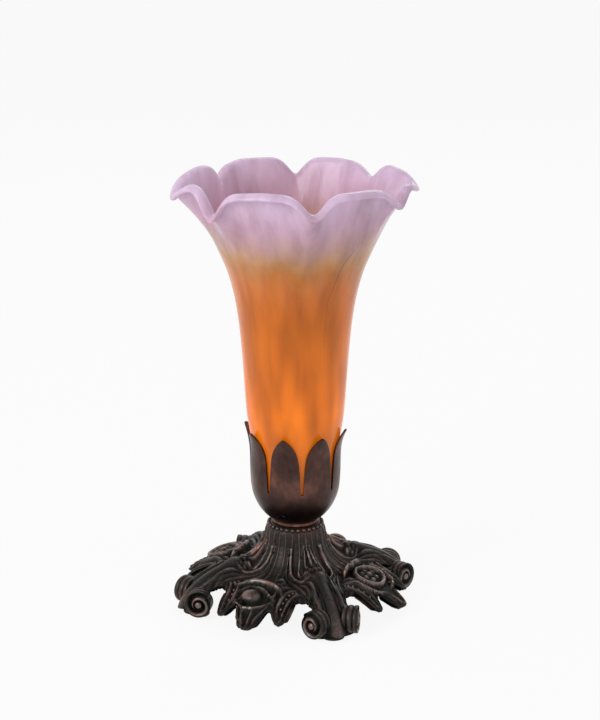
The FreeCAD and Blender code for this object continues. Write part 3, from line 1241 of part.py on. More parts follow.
def make_shade():
    """Flat columns of glass: up the outside, over the lip and down the inside."""
    lobes = int(num("lobe_count"))
    facets = int(num("shade_facets"))
    columns = []
    for lobe in range(lobes):
        for facet in range(facets):
            share = facet / facets
            section = shade_section(lobe, share)
            loop = section + inner_skin(section)[::-1]
            angle = 2 * math.pi * (lobe + share) / lobes
            columns.append([
                Vector(radius * math.cos(angle), radius * math.sin(angle), num("shade_foot") + height)
                for radius, height in loop
            ])
    faces = []
    for number, column in enumerate(columns):
        following = columns[(number + 1) % len(columns)]
        for level in range(len(column)):
            above = (level + 1) % len(column)
            corners = (column[level], following[level], following[above], column[above])
            for triangle in ((0, 1, 2), (0, 2, 3)):
                points = [corners[corner] for corner in triangle]
                faces.append(Part.Face(Part.makePolygon(points + points[:1])))
    shell = Part.makeShell(faces)
    shell.sewShape()
    glass = Part.Solid(shell)
    if glass.Volume < 0:
        glass.reverse()
    shade = doc.addObject("Part::Feature", "glass_shade")
    shade.Shape = glass
    set_turn(shade, "shade_turn")
    return keep(shade, "glass_shade")


# The bulb

BULB_OUTSIDE = (
    ("bulb_neck", "mount_level"), ("bulb_neck", "cap_top"),
    ("bulb_shoulder_radius", "bulb_shoulder"), ("bulb_radius", "bulb_waist"),
    ("bulb_radius", "bulb_brow"), ("bulb_crown_radius", "bulb_crown"),
    ("bulb_peak_radius", "bulb_peak"),
)


def make_bulb():
    inside = []
    for radius, level in reversed(BULB_OUTSIDE[:6]):
        inside.append(((num(radius) - num("bulb_wall"), f"{ref(radius)} - Sizes.bulb_wall"), level))
    hollow_top = (num("bulb_tip") - num("bulb_wall"), "Places.bulb_tip - Sizes.bulb_wall")
    turned_part("bulb_glass", (*BULB_OUTSIDE, (0, "bulb_tip"), (0, hollow_top), *inside))
    insulator_inner = (num("insulator_top") - num("cap_sheet"), "Sizes.insulator_top - Sizes.cap_sheet")
    turned_part("bulb_screw_cap", (
        (insulator_inner, "cap_level"), ("insulator_top", "cap_level"), ("cap_radius", "cap_heel"),
        ("cap_radius", "cap_top"), ("bulb_neck", "cap_top"), ("bulb_neck", "cap_heel"),
    ))
    turned_part("bulb_insulator", (
        (0, "insulator_level"), ("insulator_bottom", "insulator_level"), ("insulator_top", "cap_level"),
        (0, "cap_level"),
    ))
    contact_flat = (num("tip_radius") * 0.5, "Sizes.tip_radius * 0.5")
    turned_part("bulb_contact", (
        (0, "bulb_bottom"), (contact_flat, "bulb_bottom"), ("tip_radius", "insulator_level"),
        (0, "insulator_level"),
    ))
    turned_part("bulb_stem", (
        (0, "mount_level"), ("mount_flare", "mount_level"), ("mount_flare", "mount_rim_top"),
        ("mount_radius", "mount_flare_top"), ("mount_radius", "mount_top"), (0, "mount_top"),
    ))
    # Each lead leans outwards and is cut level where it leaves the mount and under the filament.
    reach = num("lead_spread") + 2 * num("lead_radius")
    slab = Part.makeBox(2 * reach, 2 * reach, num("lead_rise"),
                        Vector(-reach, -reach, num("mount_top")))
    wires = []
    for sign in (-1, 1):
        root = Vector(sign * num("lead_root"), 0, num("mount_top"))
        end = Vector(sign * num("lead_spread"), 0, num("lead_top"))
        along = end - root
        spare = along * (2 * num("lead_radius") / along.Length)
        wire = Part.makeCylinder(num("lead_radius"), (along + spare * 2).Length, root - spare, along)
        wires.append(wire.common(slab).Solids[0])
    leads = doc.addObject("Part::Feature", "bulb_lead_wires")
    leads.Shape = Part.makeCompound(wires)
    keep(leads, "bulb_lead_wires")
    coil = new_body("bulb_filament")
    arch = sketch_on(coil, "XZ_Plane", "FilamentArch")
    thick = (2 * num("filament_radius"), "2 * Sizes.filament_radius")
    low = (num("lead_top"), "Places.lead_top")
    low_top = (low[0] + thick[0], f"{low[1]} + {thick[1]}")
    end = (num("lead_spread") + num("lead_radius"), "Sizes.lead_spread + Sizes.lead_radius")
    heel = (num("lead_spread") - num("lead_radius"), "Sizes.lead_spread - Sizes.lead_radius")
    high = (low[0] + num("filament_rise"), f"{low[1]} + Sizes.filament_rise")
    high_top = (high[0] + thick[0], f"{high[1]} + {thick[1]}")
    bend = (num("lead_spread") * 0.4, "Sizes.lead_spread * 0.4")
    outline(arch, (
        (negative(end), low), (negative(heel), low), (negative(bend), high), (bend, high),
        (heel, low), (end, low), (end, low_top), (bend, high_top), (negative(bend), high_top),
        (negative(end), low_top),
    ))
    pad = coil.newObject("PartDesign::Pad", "Coil")
    pad.Profile = arch
    pad.Midplane = True
    pad.setExpression("Length", thick[1])
    keep(coil, "bulb_filament")


doc.recompute()
make_foot()
make_pads()
make_stack()
make_cup()
make_cushion()
make_socket()
make_socket_metal()
make_shade()
make_bulb()
doc.recompute()

os.makedirs("parts", exist_ok=True)
failed = [item for item in doc.Objects if "Invalid" in item.State or "Error" in item.State]
if failed:
    states = [f"{item.Label} ({item.getStatusString()})" for item in failed]
    raise RuntimeError("failed: " + ", ".join(states))
for item in sub_parts:
    shape = item.Shape
    if shape.isNull() or not shape.isValid():
        raise RuntimeError(f"{item.Label} has no valid shape")
    print(item.Label, "solids", len(shape.Solids), "volume", round(shape.Volume, 1))
    shape.exportStep(f"parts/{item.Label}.step")
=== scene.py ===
# %% [markdown]
# # A lily lamp: opal glass on a cast bronze foot
#
# The lamp is a ruffled glass shade, a metal cup cut into leaves, and an ornate casting on four
# scrolled feet. Its engineering model is already there as a fixed frame, with every nut and the bulb
# in place. This lesson gives it its looks: it models again what a plain solid can't show, which is
# crimped glass, curled leaves and cast ornament, and it gives every piece the finish of its trade.

# %% Load the frame and start from an empty selection
import math
import bmesh
import bpy
import numpy as np
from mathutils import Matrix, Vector


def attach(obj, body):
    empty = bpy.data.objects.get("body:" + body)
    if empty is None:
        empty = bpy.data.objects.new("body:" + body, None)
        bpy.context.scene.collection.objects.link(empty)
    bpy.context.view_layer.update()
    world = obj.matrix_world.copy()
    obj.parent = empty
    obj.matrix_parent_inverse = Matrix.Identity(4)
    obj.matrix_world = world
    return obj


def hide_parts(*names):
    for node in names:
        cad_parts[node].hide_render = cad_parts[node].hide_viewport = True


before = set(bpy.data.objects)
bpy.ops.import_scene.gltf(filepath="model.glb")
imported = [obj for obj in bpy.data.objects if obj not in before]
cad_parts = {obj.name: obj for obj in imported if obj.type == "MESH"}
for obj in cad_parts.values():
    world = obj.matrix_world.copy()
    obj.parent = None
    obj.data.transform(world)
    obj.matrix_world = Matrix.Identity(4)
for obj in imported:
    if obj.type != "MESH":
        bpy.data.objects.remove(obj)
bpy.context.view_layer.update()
MM = 0.001
bpy.ops.object.select_all(action="DESELECT")

# %% [markdown]
# Modelling by hand means working on the one selected object, so a few helpers keep that tidy. They
# choose a piece, put its place into its mesh, and open and close it for editing. Another picks points
# by a rule, such as all that lie above a level, as a click-and-drag does in the window.

# %% Helpers for working on one piece
def choose(piece):
    bpy.ops.object.select_all(action="DESELECT")
    bpy.context.view_layer.objects.active = piece
    piece.select_set(True)


def settle():
    """Put the chosen object's place, turn and size into its mesh."""
    bpy.ops.object.transform_apply(location=True, rotation=True, scale=True)
    return bpy.context.object


def open_piece(piece):
    choose(piece)
    bpy.ops.object.mode_set(mode="EDIT")
    bpy.ops.mesh.select_mode(type="VERT")
    bpy.ops.mesh.select_all(action="SELECT")


def close_piece(piece, name):
    bpy.ops.object.mode_set(mode="OBJECT")
    settle()
    piece.name = name
    piece.data.name = name


def pick(piece, rule):
    mesh = bmesh.from_edit_mesh(piece.data)
    for vert in mesh.verts:
        vert.select_set(False)
    mesh.select_flush(False)
    for vert in mesh.verts:
        if rule(vert.co):
            vert.select_set(True)
    mesh.select_flush(True)
    bmesh.update_edit_mesh(piece.data)


def turn_faces(piece, outwards):
    """Make all faces of the open piece agree, on the side that outwards(point) points to."""
    bpy.ops.mesh.select_all(action="SELECT")
    bpy.ops.mesh.normals_make_consistent(inside=False)
    mesh = bmesh.from_edit_mesh(piece.data)
    if sum(face.normal.dot(outwards(face.calc_center_median())) for face in mesh.faces) < 0:
        bpy.ops.mesh.flip_normals()


def from_axis(point):
    return Vector((point.x, point.y, 0))


def upwards(point):
    return Vector((0, 0, 1))


def finish_with(piece, kind, **settings):
    choose(piece)
    modifier = piece.modifiers.new(kind.title(), kind)
    for setting, value in settings.items():
        setattr(modifier, setting, value)
    bpy.ops.object.modifier_apply(modifier=modifier.name)


def join_all(pieces, name):
    bpy.ops.object.select_all(action="DESELECT")
    for piece in pieces:
        piece.select_set(True)
    bpy.context.view_layer.objects.active = pieces[0]
    bpy.ops.object.join()
    pieces[0].name = name
    pieces[0].data.name = name
    return pieces[0]


# %% [markdown]
# The camera comes before the modelling, because it decides what the picture shows. A long lens of
# about 107 mm stands 0.92 m in front of the lamp and looks down by 17.45 degrees, which is the view
# of the photograph. A small shift slides the lamp to its place in the frame without turning the lens.

# %% Camera
CAMERA_BACK = 0.920
CAMERA_UP = 0.3844
CAMERA_PITCH = 17.45
CAMERA_LENS = 107
SENSOR = 36
# The shift to the right and up, in points of a picture that is so many points high.
SHIFT = (4.6, 40.5)
PICTURE_HEIGHT = 720
bpy.ops.object.camera_add(location=(0, -CAMERA_BACK, CAMERA_UP),
                          rotation=(math.radians(90 - CAMERA_PITCH), 0, 0))
camera = bpy.context.object
camera.name = "camera"
camera.data.lens = CAMERA_LENS
camera.data.sensor_fit = "VERTICAL"
camera.data.sensor_height = SENSOR
camera.data.sensor_width = SENSOR
camera.data.shift_x = SHIFT[0] / PICTURE_HEIGHT
camera.data.shift_y = SHIFT[1] / PICTURE_HEIGHT
camera.data.dof.use_dof = False
bpy.context.scene.camera = camera
print("the camera is", round(math.hypot(CAMERA_BACK, CAMERA_UP), 3), "m from the lamp's foot")

# %% [markdown]
# Materials are built from nodes. One helper turns a hex colour, as a designer writes it, into the
# linear values that a renderer needs, and another adds a node with its settings, its links and its
# fixed values. Patterns are sized in real millimetres, because objects' coordinates are metres.

# %% Helpers for materials
def colour(code):
    channels = [int(code[start:start + 2], 16) / 255 for start in (0, 2, 4)]
    linear = [c / 12.92 if c <= 0.04045 else ((c + 0.055) / 1.055) ** 2.4 for c in channels]
    return (*linear, 1.0)


def grey(value):
    return (value, value, value, 1)


def new_material(name):
    material = bpy.data.materials.new(name)
    material.use_nodes = True
    tree = material.node_tree
    return material, tree, tree.nodes["Principled BSDF"]


def wire(tree, node, links, sockets=None):
    """Link and set inputs. links is (input, source node, source output) triples."""
    for name, source, output in links:
        tree.links.new(source.outputs[output], node.inputs[name])
    for name, value in (sockets or {}).items():
        node.inputs[name].default_value = value
    return node


def add(tree, kind, links=(), sockets=None, **settings):
    node = tree.nodes.new(kind)
    for name, value in settings.items():
        setattr(node, name, value)
    return wire(tree, node, links, sockets)


def ramp(tree, source, output, stops):
    """A colour ramp through (place, colour) stops."""
    node = add(tree, "ShaderNodeValToRGB", [("Fac", source, output)])
    elements = node.color_ramp.elements
    while len(elements) < len(stops):
        elements.new(0.5)
    for element, (place, value) in zip(elements, stops):
        element.position = place
        element.color = value if isinstance(value, tuple) else colour(value)
    return node


# %% [markdown]
# ## The glass shade
#
# The real shade is blown into a ribbed mould, then its hot mouth is opened and crimped by hand, and
# two lips are pulled down as ears. It is modelled in the same order. A ring of points at the foot is
# extruded upwards and widened level by level, and then the mouth is pulled to a rim written as a
# list of places. A wave would make even ruffles, and a hand-crimped mouth has none that are even.

# %% The shade's profile, as radius and height above the table in millimetres
COLUMNS = 112
SHADE_TURN = 10.6
STEM = (
    (15.4, 46.3), (17.7, 50.5), (18.8, 57.5), (19.3, 66), (19.4, 75), (20.9, 82), (22.1, 90),
    (22.8, 100), (23.4, 111), (24.3, 123), (25.4, 134), (26.8, 143), (28.4, 150),
    (30.3, 156.5), (32.4, 161.5), (34.8, 167), (37.2, 172),
)
# The rim all round: degrees, radius and height where the glass begins to roll outwards.
RIM_LINE = (
    (2, 51, 191), (11, 48, 195.5), (21, 42.8, 197.6), (33, 41, 190), (39, 41, 190), (50, 42.5, 194.8),
    (62, 43, 195.6), (79, 43, 195.2), (84, 43, 191.2), (87.5, 43, 187.2), (92.5, 43, 187.2),
    (96, 43, 191.2), (101, 43, 195.2), (125, 43, 195.8), (138, 42, 194), (145, 40.5, 188.6),
    (150, 40, 188.6), (156, 39, 193.5), (163, 39.5, 197.8), (168, 42, 198.2), (175, 46, 196.6),
    (183, 50, 193.8), (192, 52.2, 188.8), (199, 50.5, 193), (206, 48, 196.6), (212, 47.2, 195.2),
    (215.5, 46.6, 189), (218, 45.6, 184.4), (225, 45.4, 184.4), (229, 46, 189.8), (235, 46.2, 195.4),
    (252, 46.2, 197), (266, 46.2, 196.6), (271.5, 46.6, 193.6), (275.5, 47.4, 188.4),
    (283, 47.4, 188.4), (287, 46.6, 193.6), (292, 46.2, 196.4), (310, 46.2, 196.4), (321, 46, 195.2),
    (328, 46.4, 191), (332, 47.4, 187.6), (336, 47.4, 187.6), (341, 47.6, 191.5), (347, 48, 194.5),
    (355, 50, 192.5),
)
# The line is rounded by averaging it over so many degrees to each side.
SOFTEN = 2.0
# How far each level of the mouth is on its way out and up to that line, and the lip beyond it.
MOUTH = ((0.19, 0.24), (0.39, 0.46), (0.61, 0.67), (0.82, 0.85), (1.0, 1.0))
LIP = ((0.5, 0.8), (1.1, 0.9), (1.6, 0.2), (1.8, -0.7))
# The rings of the rough mouth stand so many millimetres apart, so that each can be found again.
ROUGH_STEP = 3.0


# %% Helpers that turn a piece ring by ring and move its points
def start_ring(columns, profile, turn=0.0):
    """Open a ring of points at the profile's first radius and height, turned by so many degrees."""
    radius, height = profile[0]
    bpy.ops.mesh.primitive_circle_add(vertices=columns, radius=radius * MM,
                                      location=(0, 0, height * MM),
                                      rotation=(0, 0, math.radians(turn)))
    ring = settle()
    open_piece(ring)
    return ring


def draw_up(profile):
    """Extrude the selected ring from each radius and height of the profile to the next."""
    for (radius_now, height_now), (radius, height) in zip(profile, profile[1:]):
        bpy.ops.mesh.extrude_region_move()
        scale = radius / radius_now
        bpy.ops.transform.resize(value=(scale, scale, 1), center_override=(0, 0, height_now * MM))
        bpy.ops.transform.translate(value=(0, 0, (height - height_now) * MM))


def read_points(piece):
    flat = np.empty(len(piece.data.vertices) * 3)
    piece.data.vertices.foreach_get("co", flat)
    return flat.reshape(-1, 3) / MM


def write_points(piece, points):
    piece.data.vertices.foreach_set("co", (points * MM).ravel())
    piece.data.update()


def around_axis(radius, turn, height):
    """Points from their radius, their turn in radians and their height."""
    return np.stack([radius * np.cos(turn), radius * np.sin(turn), height], axis=1)


# %% Blow the stem and a rough mouth
shade = start_ring(COLUMNS, STEM, SHADE_TURN)
top_radius, top_height = STEM[-1]
rough_mouth = [(top_radius + step, top_height + ROUGH_STEP * step)
               for step in range(1, len(MOUTH) + len(LIP) + 1)]
draw_up(list(STEM) + rough_mouth)
turn_faces(shade, from_axis)
close_piece(shade, "ruffled_shade")
print("the rough shade has", len(shade.data.vertices), "points")

# %% Crimp the mouth: pull every point to its place on the way to the rim
points = read_points(shade)
turns = np.arctan2(points[:, 1], points[:, 0])
rim_degrees, *rim_sizes = zip(*RIM_LINE)
rim_radius, rim_height = (
    sum(np.interp(np.degrees(turns) + step, rim_degrees, sizes, period=360) * share
        for step, share in ((-SOFTEN, 0.25), (0, 0.5), (SOFTEN, 0.25)))
    for sizes in rim_sizes)
level = np.round((points[:, 2] - top_height) / ROUGH_STEP).astype(int)
for number, (out, up) in enumerate(MOUTH + LIP, start=1):
    ring = level == number
    if number > len(MOUTH):
        radius, height = rim_radius + out, rim_height + up
    else:
        radius = top_radius + (rim_radius - top_radius) * out
        height = top_height + (rim_height - top_height) * up
    points[ring] = around_axis(radius, turns, height)[ring]
write_points(shade, points)
print("the rim is", round(float(rim_radius.min())), "to", round(float(rim_radius.max())), "mm out")

# %% Give the glass its wall and its fire-polished lip
GLASS_WALL = 2.2
finish_with(shade, "SOLIDIFY", thickness=GLASS_WALL * MM, offset=-1)
finish_with(shade, "SUBSURF", levels=2, render_levels=2)
bpy.ops.object.shade_smooth()
print("the shade has", 2 * len(shade.data.polygons), "triangles")
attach(shade, "shade")
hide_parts("glass_shade")

# %% [markdown]
# ## The leaf cup
#
# The real cup is spun from sheet metal, sawn into leaves and curled outwards by hand. It has eight
# here, as in the engineering model. One leaf is modelled with its share of the bowl, level by level,
# and then copied round. A boolean would also cut the slots, but extruding only a leaf's own edge
# leaves cleaner metal.

# %% The cup's profile and the width of a leaf
LEAVES = 8
LEAF_COLUMNS = 12
LEAF_TURN = -12.0
LEAF_STEP = 360 / (LEAVES * LEAF_COLUMNS)
BOWL = (
    (5.2, 40.2), (8, 40.2), (10.4, 40.3), (12.4, 41), (14.2, 42.6), (16.2, 45), (17.9, 48),
    (19.2, 51.2), (19.9, 54), (20.2, 56.6),
)
# The radius, height and half width of a leaf, up to its curled tip.
LEAF = (
    (20.3, 57.4, 7.35), (20.5, 61, 7.3), (20.6, 66, 7.05), (20.7, 70.5, 6.7), (20.9, 74, 6.3),
    (21.4, 76.6, 5.6), (22, 78.8, 4.5), (22.7, 80.7, 3.3), (23.4, 82.2, 2.1), (23.9, 83.3, 0.9),
)
# Points are picked with a hair's breadth to spare, in degrees and in millimetres.
HAIR = 0.1
HAIR_MM = 0.001


# %% Draw up one leaf's share of the bowl
def leaf_angle(co):
    return (math.degrees(math.atan2(co.y, co.x)) - LEAF_TURN + 180) % 360 - 180


half_share = 180 / LEAVES
leaf = start_ring(LEAVES * LEAF_COLUMNS, BOWL, LEAF_TURN)
pick(leaf, lambda co: abs(leaf_angle(co)) > half_share + HAIR)
bpy.ops.mesh.delete(type="VERT")
bpy.ops.mesh.select_all(action="SELECT")
draw_up(BOWL)

# %% Draw the leaf itself from the bowl's edge, without the columns beside the slot
slot_side = half_share - LEAF_STEP / 2 - HAIR
rim_level = (BOWL[-1][1] - HAIR_MM) * MM
pick(leaf, lambda co: co.z > rim_level and -slot_side - LEAF_STEP < leaf_angle(co) < slot_side)
leaf_middle = -LEAF_STEP / 2
radius_now, height_now = BOWL[-1]
width_now = radius_now * math.radians(LEAF_STEP * (LEAF_COLUMNS - 1) / 2)
for radius, height, width in LEAF:
    bpy.ops.mesh.extrude_region_move()
    turn = math.radians(LEAF_TURN + leaf_middle)
    centre = (radius_now * MM * math.cos(turn), radius_now * MM * math.sin(turn), height_now * MM)
    scale = width / width_now
    bpy.ops.transform.resize(value=(scale, scale, 1), center_override=centre)
    out = (radius - radius_now) * MM
    bpy.ops.transform.translate(value=(out * math.cos(turn), out * math.sin(turn),
                                       (height - height_now) * MM))
    radius_now, height_now, width_now = radius, height, width
close_piece(leaf, "leaf")
print("one leaf has", len(leaf.data.polygons), "faces")

# %% Copy the leaf round, weld the joins, and give the sheet its thickness
WELD = 0.01
SHEET = 0.9
cup_parts = [leaf]
for number in range(1, LEAVES):
    choose(leaf)
    bpy.ops.object.duplicate()
    bpy.context.object.rotation_euler = (0, 0, math.radians(number * 360 / LEAVES))
    cup_parts.append(settle())
cup = join_all(cup_parts, "leaf_cup_of_sheet")
open_piece(cup)
bpy.ops.mesh.remove_doubles(threshold=WELD * MM)
turn_faces(cup, from_axis)
close_piece(cup, "leaf_cup_of_sheet")
finish_with(cup, "SUBSURF", levels=1, render_levels=1)
finish_with(cup, "SOLIDIFY", thickness=SHEET * MM, offset=-1)

# %% Drill the small vent low in the bowl, and break the sharp edges
VENT_RADIUS = 1.1
VENT_PLACE = (0, -17.0, 44.6)
VENT_TURN = -21
DRILL_LENGTH = 12
BROKEN_EDGE = 0.15
CUP_CREASE = math.radians(40)
bpy.ops.mesh.primitive_cylinder_add(vertices=24, radius=VENT_RADIUS * MM, depth=DRILL_LENGTH * MM,
                                    location=[place * MM for place in VENT_PLACE],
                                    rotation=(math.radians(90), 0, 0))
drill = settle()
drill.rotation_euler = (0, 0, math.radians(VENT_TURN))
settle()
finish_with(cup, "BOOLEAN", operation="DIFFERENCE", object=drill, solver="EXACT")
bpy.data.objects.remove(drill, do_unlink=True)
finish_with(cup, "BEVEL", width=BROKEN_EDGE * MM, segments=2, limit_method="ANGLE",
            angle_limit=CUP_CREASE)
bpy.ops.object.shade_smooth_by_angle(angle=CUP_CREASE)
print("the cup has", len(cup.data.polygons), "faces")
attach(cup, "stand")
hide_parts("leaf_cup")

# %% [markdown]
# ## The cast foot
#
# The foot is a thin iron casting from a carved pattern: a fluted neck, four legs that end in pairs
# of scrolls, and leaf fronds, bosses and berries between them. Such relief is sculpted, not built
# from blocks. A sheet of clay is extruded ring by ring, pressed over the mould's main shape, and then
# worked with strokes. A stroke follows a path and raises the clay beside it, as a sculpt brush does.

# %% The mould: profiles of a side and of a leg, and the outline seen from above
FOOT_COLUMNS = 432
FOOT_RINGS = 90
FOOT_TURN = 20.0
QUARTER = 90.0
SIDE_PROFILE = (
    (5.3, 38), (11, 38), (11.5, 37.4), (12.6, 36.4), (13.2, 35.6), (13.5, 33.6), (14.1, 29.4),
    (15.7, 25.2), (18.5, 21.6), (22.1, 18.9), (26, 17.5), (32, 16.4), (37, 15.4), (41, 13.8),
    (46, 11), (50, 8.2), (53, 6.2), (56.2, 4.8),
)
LEG_PROFILE = (
    (5.3, 38), (11, 38), (11.5, 37.4), (12.6, 36.4), (13.2, 35.6), (13.6, 33), (15, 28.8),
    (18, 25.4), (22, 23.2), (27, 21.8), (33, 20), (39, 17.6), (44, 15), (48, 12.2),
    (51, 9.2), (53, 6.2), (54.2, 3.4), (54.9, 1.2),
)
# The rim's reach by its angle from the middle of a leg.
RIM = (
    (0, 54.8), (4, 54.4), (7, 52.6), (9, 49), (11, 44.6), (13, 41), (15.5, 39.2),
    (18, 38.8), (20.5, 39.8), (22.5, 42.6), (24.2, 47.2), (26, 50.8), (28.5, 51.9), (30.8, 50.9),
    (32.5, 47.6), (34.5, 45.4), (36.5, 46.2), (38.5, 50), (40.5, 53.6), (42.5, 54.9), (45, 55.2),
)
# Half the leg's width by its radius, and where its shoulder ends and how broad that is, in widths.
LEG_WIDTH = ((13.0, 2.6), (20.0, 3.8), (27.0, 5.2), (34.0, 6.8), (40.0, 8.0), (46.0, 8.8), (54.0, 9.2))
SHOULDER_END = 1.35
SHOULDER = 0.95
# The clay is stretched to the rim's reach only outside this radius.
KNEE = 24.0
# The slope is measured over so many millimetres to each side.
PROBE = 0.2


def along(table, value):
    """Read a table of (place, value) pairs at many places at once."""
    places, values = zip(*table)
    return np.interp(value, places, values)


def leg_offset(degrees):
    """Signed degrees from the nearest leg."""
    return (degrees - FOOT_TURN + QUARTER / 2) % QUARTER - QUARTER / 2


def mould_height(radius, degrees):
    offset = np.abs(leg_offset(degrees))
    aside = radius * np.sin(np.radians(offset))
    width = along(LEG_WIDTH, radius)
    share = np.clip((SHOULDER_END - aside / width) / SHOULDER, 0, 1)
    share = share * share * (3 - 2 * share)
    side = along(SIDE_PROFILE, radius)
    return side + (along(LEG_PROFILE, radius) - side) * share


# %% Roll out the clay and press it over the mould
lengths = [0.0]
for (radius, level), (next_radius, next_level) in zip(SIDE_PROFILE, SIDE_PROFILE[1:]):
    lengths.append(lengths[-1] + math.hypot(next_radius - radius, next_level - level))
ring_radii = np.interp(np.linspace(0, lengths[-1], FOOT_RINGS), lengths,
                       [radius for radius, level in SIDE_PROFILE])
flat_rings = [(float(radius), 0.0) for radius in ring_radii]
foot = start_ring(FOOT_COLUMNS, flat_rings)
draw_up(flat_rings)
close_piece(foot, "foot_clay")
clay = read_points(foot)
clay_radius = flat_radius = np.hypot(clay[:, 0], clay[:, 1])
clay_angle = np.degrees(np.arctan2(clay[:, 1], clay[:, 0]))
reach = along(RIM, np.abs(leg_offset(clay_angle)))
outside = clay_radius > KNEE
widest = SIDE_PROFILE[-1][0]
stretched = KNEE + (clay_radius - KNEE) * (reach - KNEE) / (widest - KNEE)
clay_radius = np.where(outside, stretched, clay_radius)
clay_height = mould_height(clay_radius, clay_angle)
further_out = mould_height(clay_radius + PROBE, clay_angle)
steep = (further_out - mould_height(clay_radius - PROBE, clay_angle)) / (2 * PROBE)
lean = np.hypot(steep, 1.0)
out_share = -steep / lean
up_share = 1 / lean
relief = np.zeros(len(clay))
print("the clay has", len(clay), "points")

# %% [markdown]
# Each ornament is a path in angle and radius, measured from the middle of a leg or of a side, so it
# is written once and appears on every leg, mirrored, or on every second side. The distance to the
# path is taken in space, so a rib keeps its width where the skirt is steep.

# %% The sculpting strokes
# A stroke is tried on the clay within so many degrees and so many millimetres of its path.
NEAR_DEGREES = 14
NEAR_REACH = 5
# A leg's strokes are mirrored, and on the sides two kinds take turns: an eye, then a bowl of berries.
LEG = "leg"
EYE = "eye side"
BOWL_SIDE = "bowl side"


def smooth_path(points, steps=10):
    """A curve through (degrees, radius) points."""
    points = [np.array(point, float) for point in points]
    ends = [2 * points[0] - points[1]] + points + [2 * points[-1] - points[-2]]
    path = []
    for a, b, c, d in zip(ends, ends[1:], ends[2:], ends[3:]):
        for step in range(steps):
            t = step / steps
            path.append(0.5 * (2 * b + (c - a) * t + (2 * a - 5 * b + 4 * c - d) * t * t
                               + (3 * b - a - 3 * c + d) * t ** 3))
    path.append(points[-1])
    return np.array(path)


def angles_for(pattern):
    """Every clay point's angle from the middle of the leg or side that the pattern names."""
    if pattern == LEG:
        return np.abs(leg_offset(clay_angle))
    first = FOOT_TURN + QUARTER / 2 + (QUARTER if pattern == BOWL_SIDE else 0)
    return (clay_angle - first + QUARTER) % (2 * QUARTER) - QUARTER


def in_space(degrees, radius, pattern):
    middle = FOOT_TURN if pattern == LEG else FOOT_TURN + QUARTER / 2
    return around_axis(radius, np.radians(degrees), mould_height(radius, middle + degrees))


def stroke(points, width, height, pattern=LEG, taper=(0.5, 0.5)):
    """Raise the clay along a path. width is half the stroke's; taper is how full its ends are."""
    global relief
    path = smooth_path(points)
    line = in_space(path[:, 0], path[:, 1], pattern)
    turns = angles_for(pattern)
    low, high = path.min(axis=0), path.max(axis=0)
    near = (turns > low[0] - NEAR_DEGREES) & (turns < high[0] + NEAR_DEGREES)
    near &= (clay_radius > low[1] - NEAR_REACH) & (clay_radius < high[1] + NEAR_REACH)
    where = np.nonzero(near)[0]
    spots = in_space(turns[where], clay_radius[where], pattern)
    gaps = np.linalg.norm(spots[:, None, :] - line[None, :, :], axis=2)
    nearest = gaps.argmin(axis=1)
    place = nearest / (len(line) - 1)
    size = np.interp(place, (0, 0.3, 0.7, 1), (taper[0], 1, 1, taper[1]))
    share = np.clip(gaps.min(axis=1) / (width * size), 0, 1)
    raised = height * size * np.sqrt(1 - share ** 2) * (1 - share ** 4)
    relief[where] = np.maximum(relief[where], raised)


def dome(degrees, radius, around, across, height, pattern, power=0.5):
    """A boss: around and across are its half sizes round the lamp and away from it."""
    global relief
    turns = angles_for(pattern)
    aside = np.radians(turns - degrees) * radius / around
    away = (clay_radius - radius) / across
    share = np.clip(aside ** 2 + away ** 2, 0, 1)
    raised = height * (1 - share) ** power
    relief = np.where(share < 1, np.maximum(relief, raised), relief)


# %% Flute the neck
FLUTES = 28
# The flutes' wave, the overtone that sharpens it, and how far both are sunk.
FLUTE_WAVE = 0.42
FLUTE_EDGE = 0.2
FLUTE_SINK = 0.15
flute_turn = np.radians(clay_angle - FOOT_TURN) * FLUTES
flutes = FLUTE_WAVE * np.cos(flute_turn) + FLUTE_EDGE * np.cos(2 * flute_turn) - FLUTE_SINK
flute_mask = np.interp(clay_radius, (13.0, 13.5, 24.0, 31.0), (0, 1, 0.8, 0))
relief += flutes * flute_mask
print("the flutes are", round(float(np.ptp(flutes)), 2), "mm deep")

# %% Sculpt the legs, the fronds beside them and the small flowers at their tops
stroke([(0, 30), (0, 34), (0, 42), (0, 49), (0, 55.5)], 3.1, 1.5, taper=(1.5, 1.5))
stroke([(9.5, 36), (7.6, 41), (6.9, 46), (7.2, 50)], 1.5, 1.5, taper=(0.6, 1.2))
stroke([(6.4, 29), (5.2, 36), (4.6, 43), (4.4, 48), (5.6, 52)], 0.7, 1.0, taper=(0.7, 1))
stroke([(22, 27), (13.5, 31.5), (10, 36), (8.4, 41), (8.6, 46)], 0.8, 1.2)
stroke([(27, 14.2), (27, 17.5), (25, 21.5), (19, 25.8), (9, 28.6), (0, 29.4)], 1.0, 1.7, taper=(0.9, 1))
stroke([(31, 14.2), (31.5, 18.5), (29.5, 23.5), (22, 28.4), (13, 31)], 0.7, 1.0, taper=(0.9, 0.6))
stroke([(29, 18), (27, 22.5), (22, 26.5), (16, 29.5)], 0.8, 0.9)
stroke([(34, 19.5), (33, 24), (29, 28), (23.5, 31)], 0.8, 0.9)
stroke([(39, 19.5), (39.5, 24), (37.5, 28)], 0.8, 0.8)
stroke([(12, 28.5), (8.5, 32.5), (7.2, 37), (8, 42), (10.2, 46)], 1.3, 1.7)
stroke([(19, 27), (13.5, 31), (11, 35), (10.6, 39), (12.4, 43)], 1.2, 1.5)
stroke([(26, 26), (20, 29.5), (15.6, 33), (13.4, 36.6), (13, 40)], 1.1, 1.3)
stroke([(12.6, 42.2), (15.5, 40.1), (18, 39.7), (20.4, 40.9), (23, 44.6), (25.6, 49.4)], 1.1, 1.3)
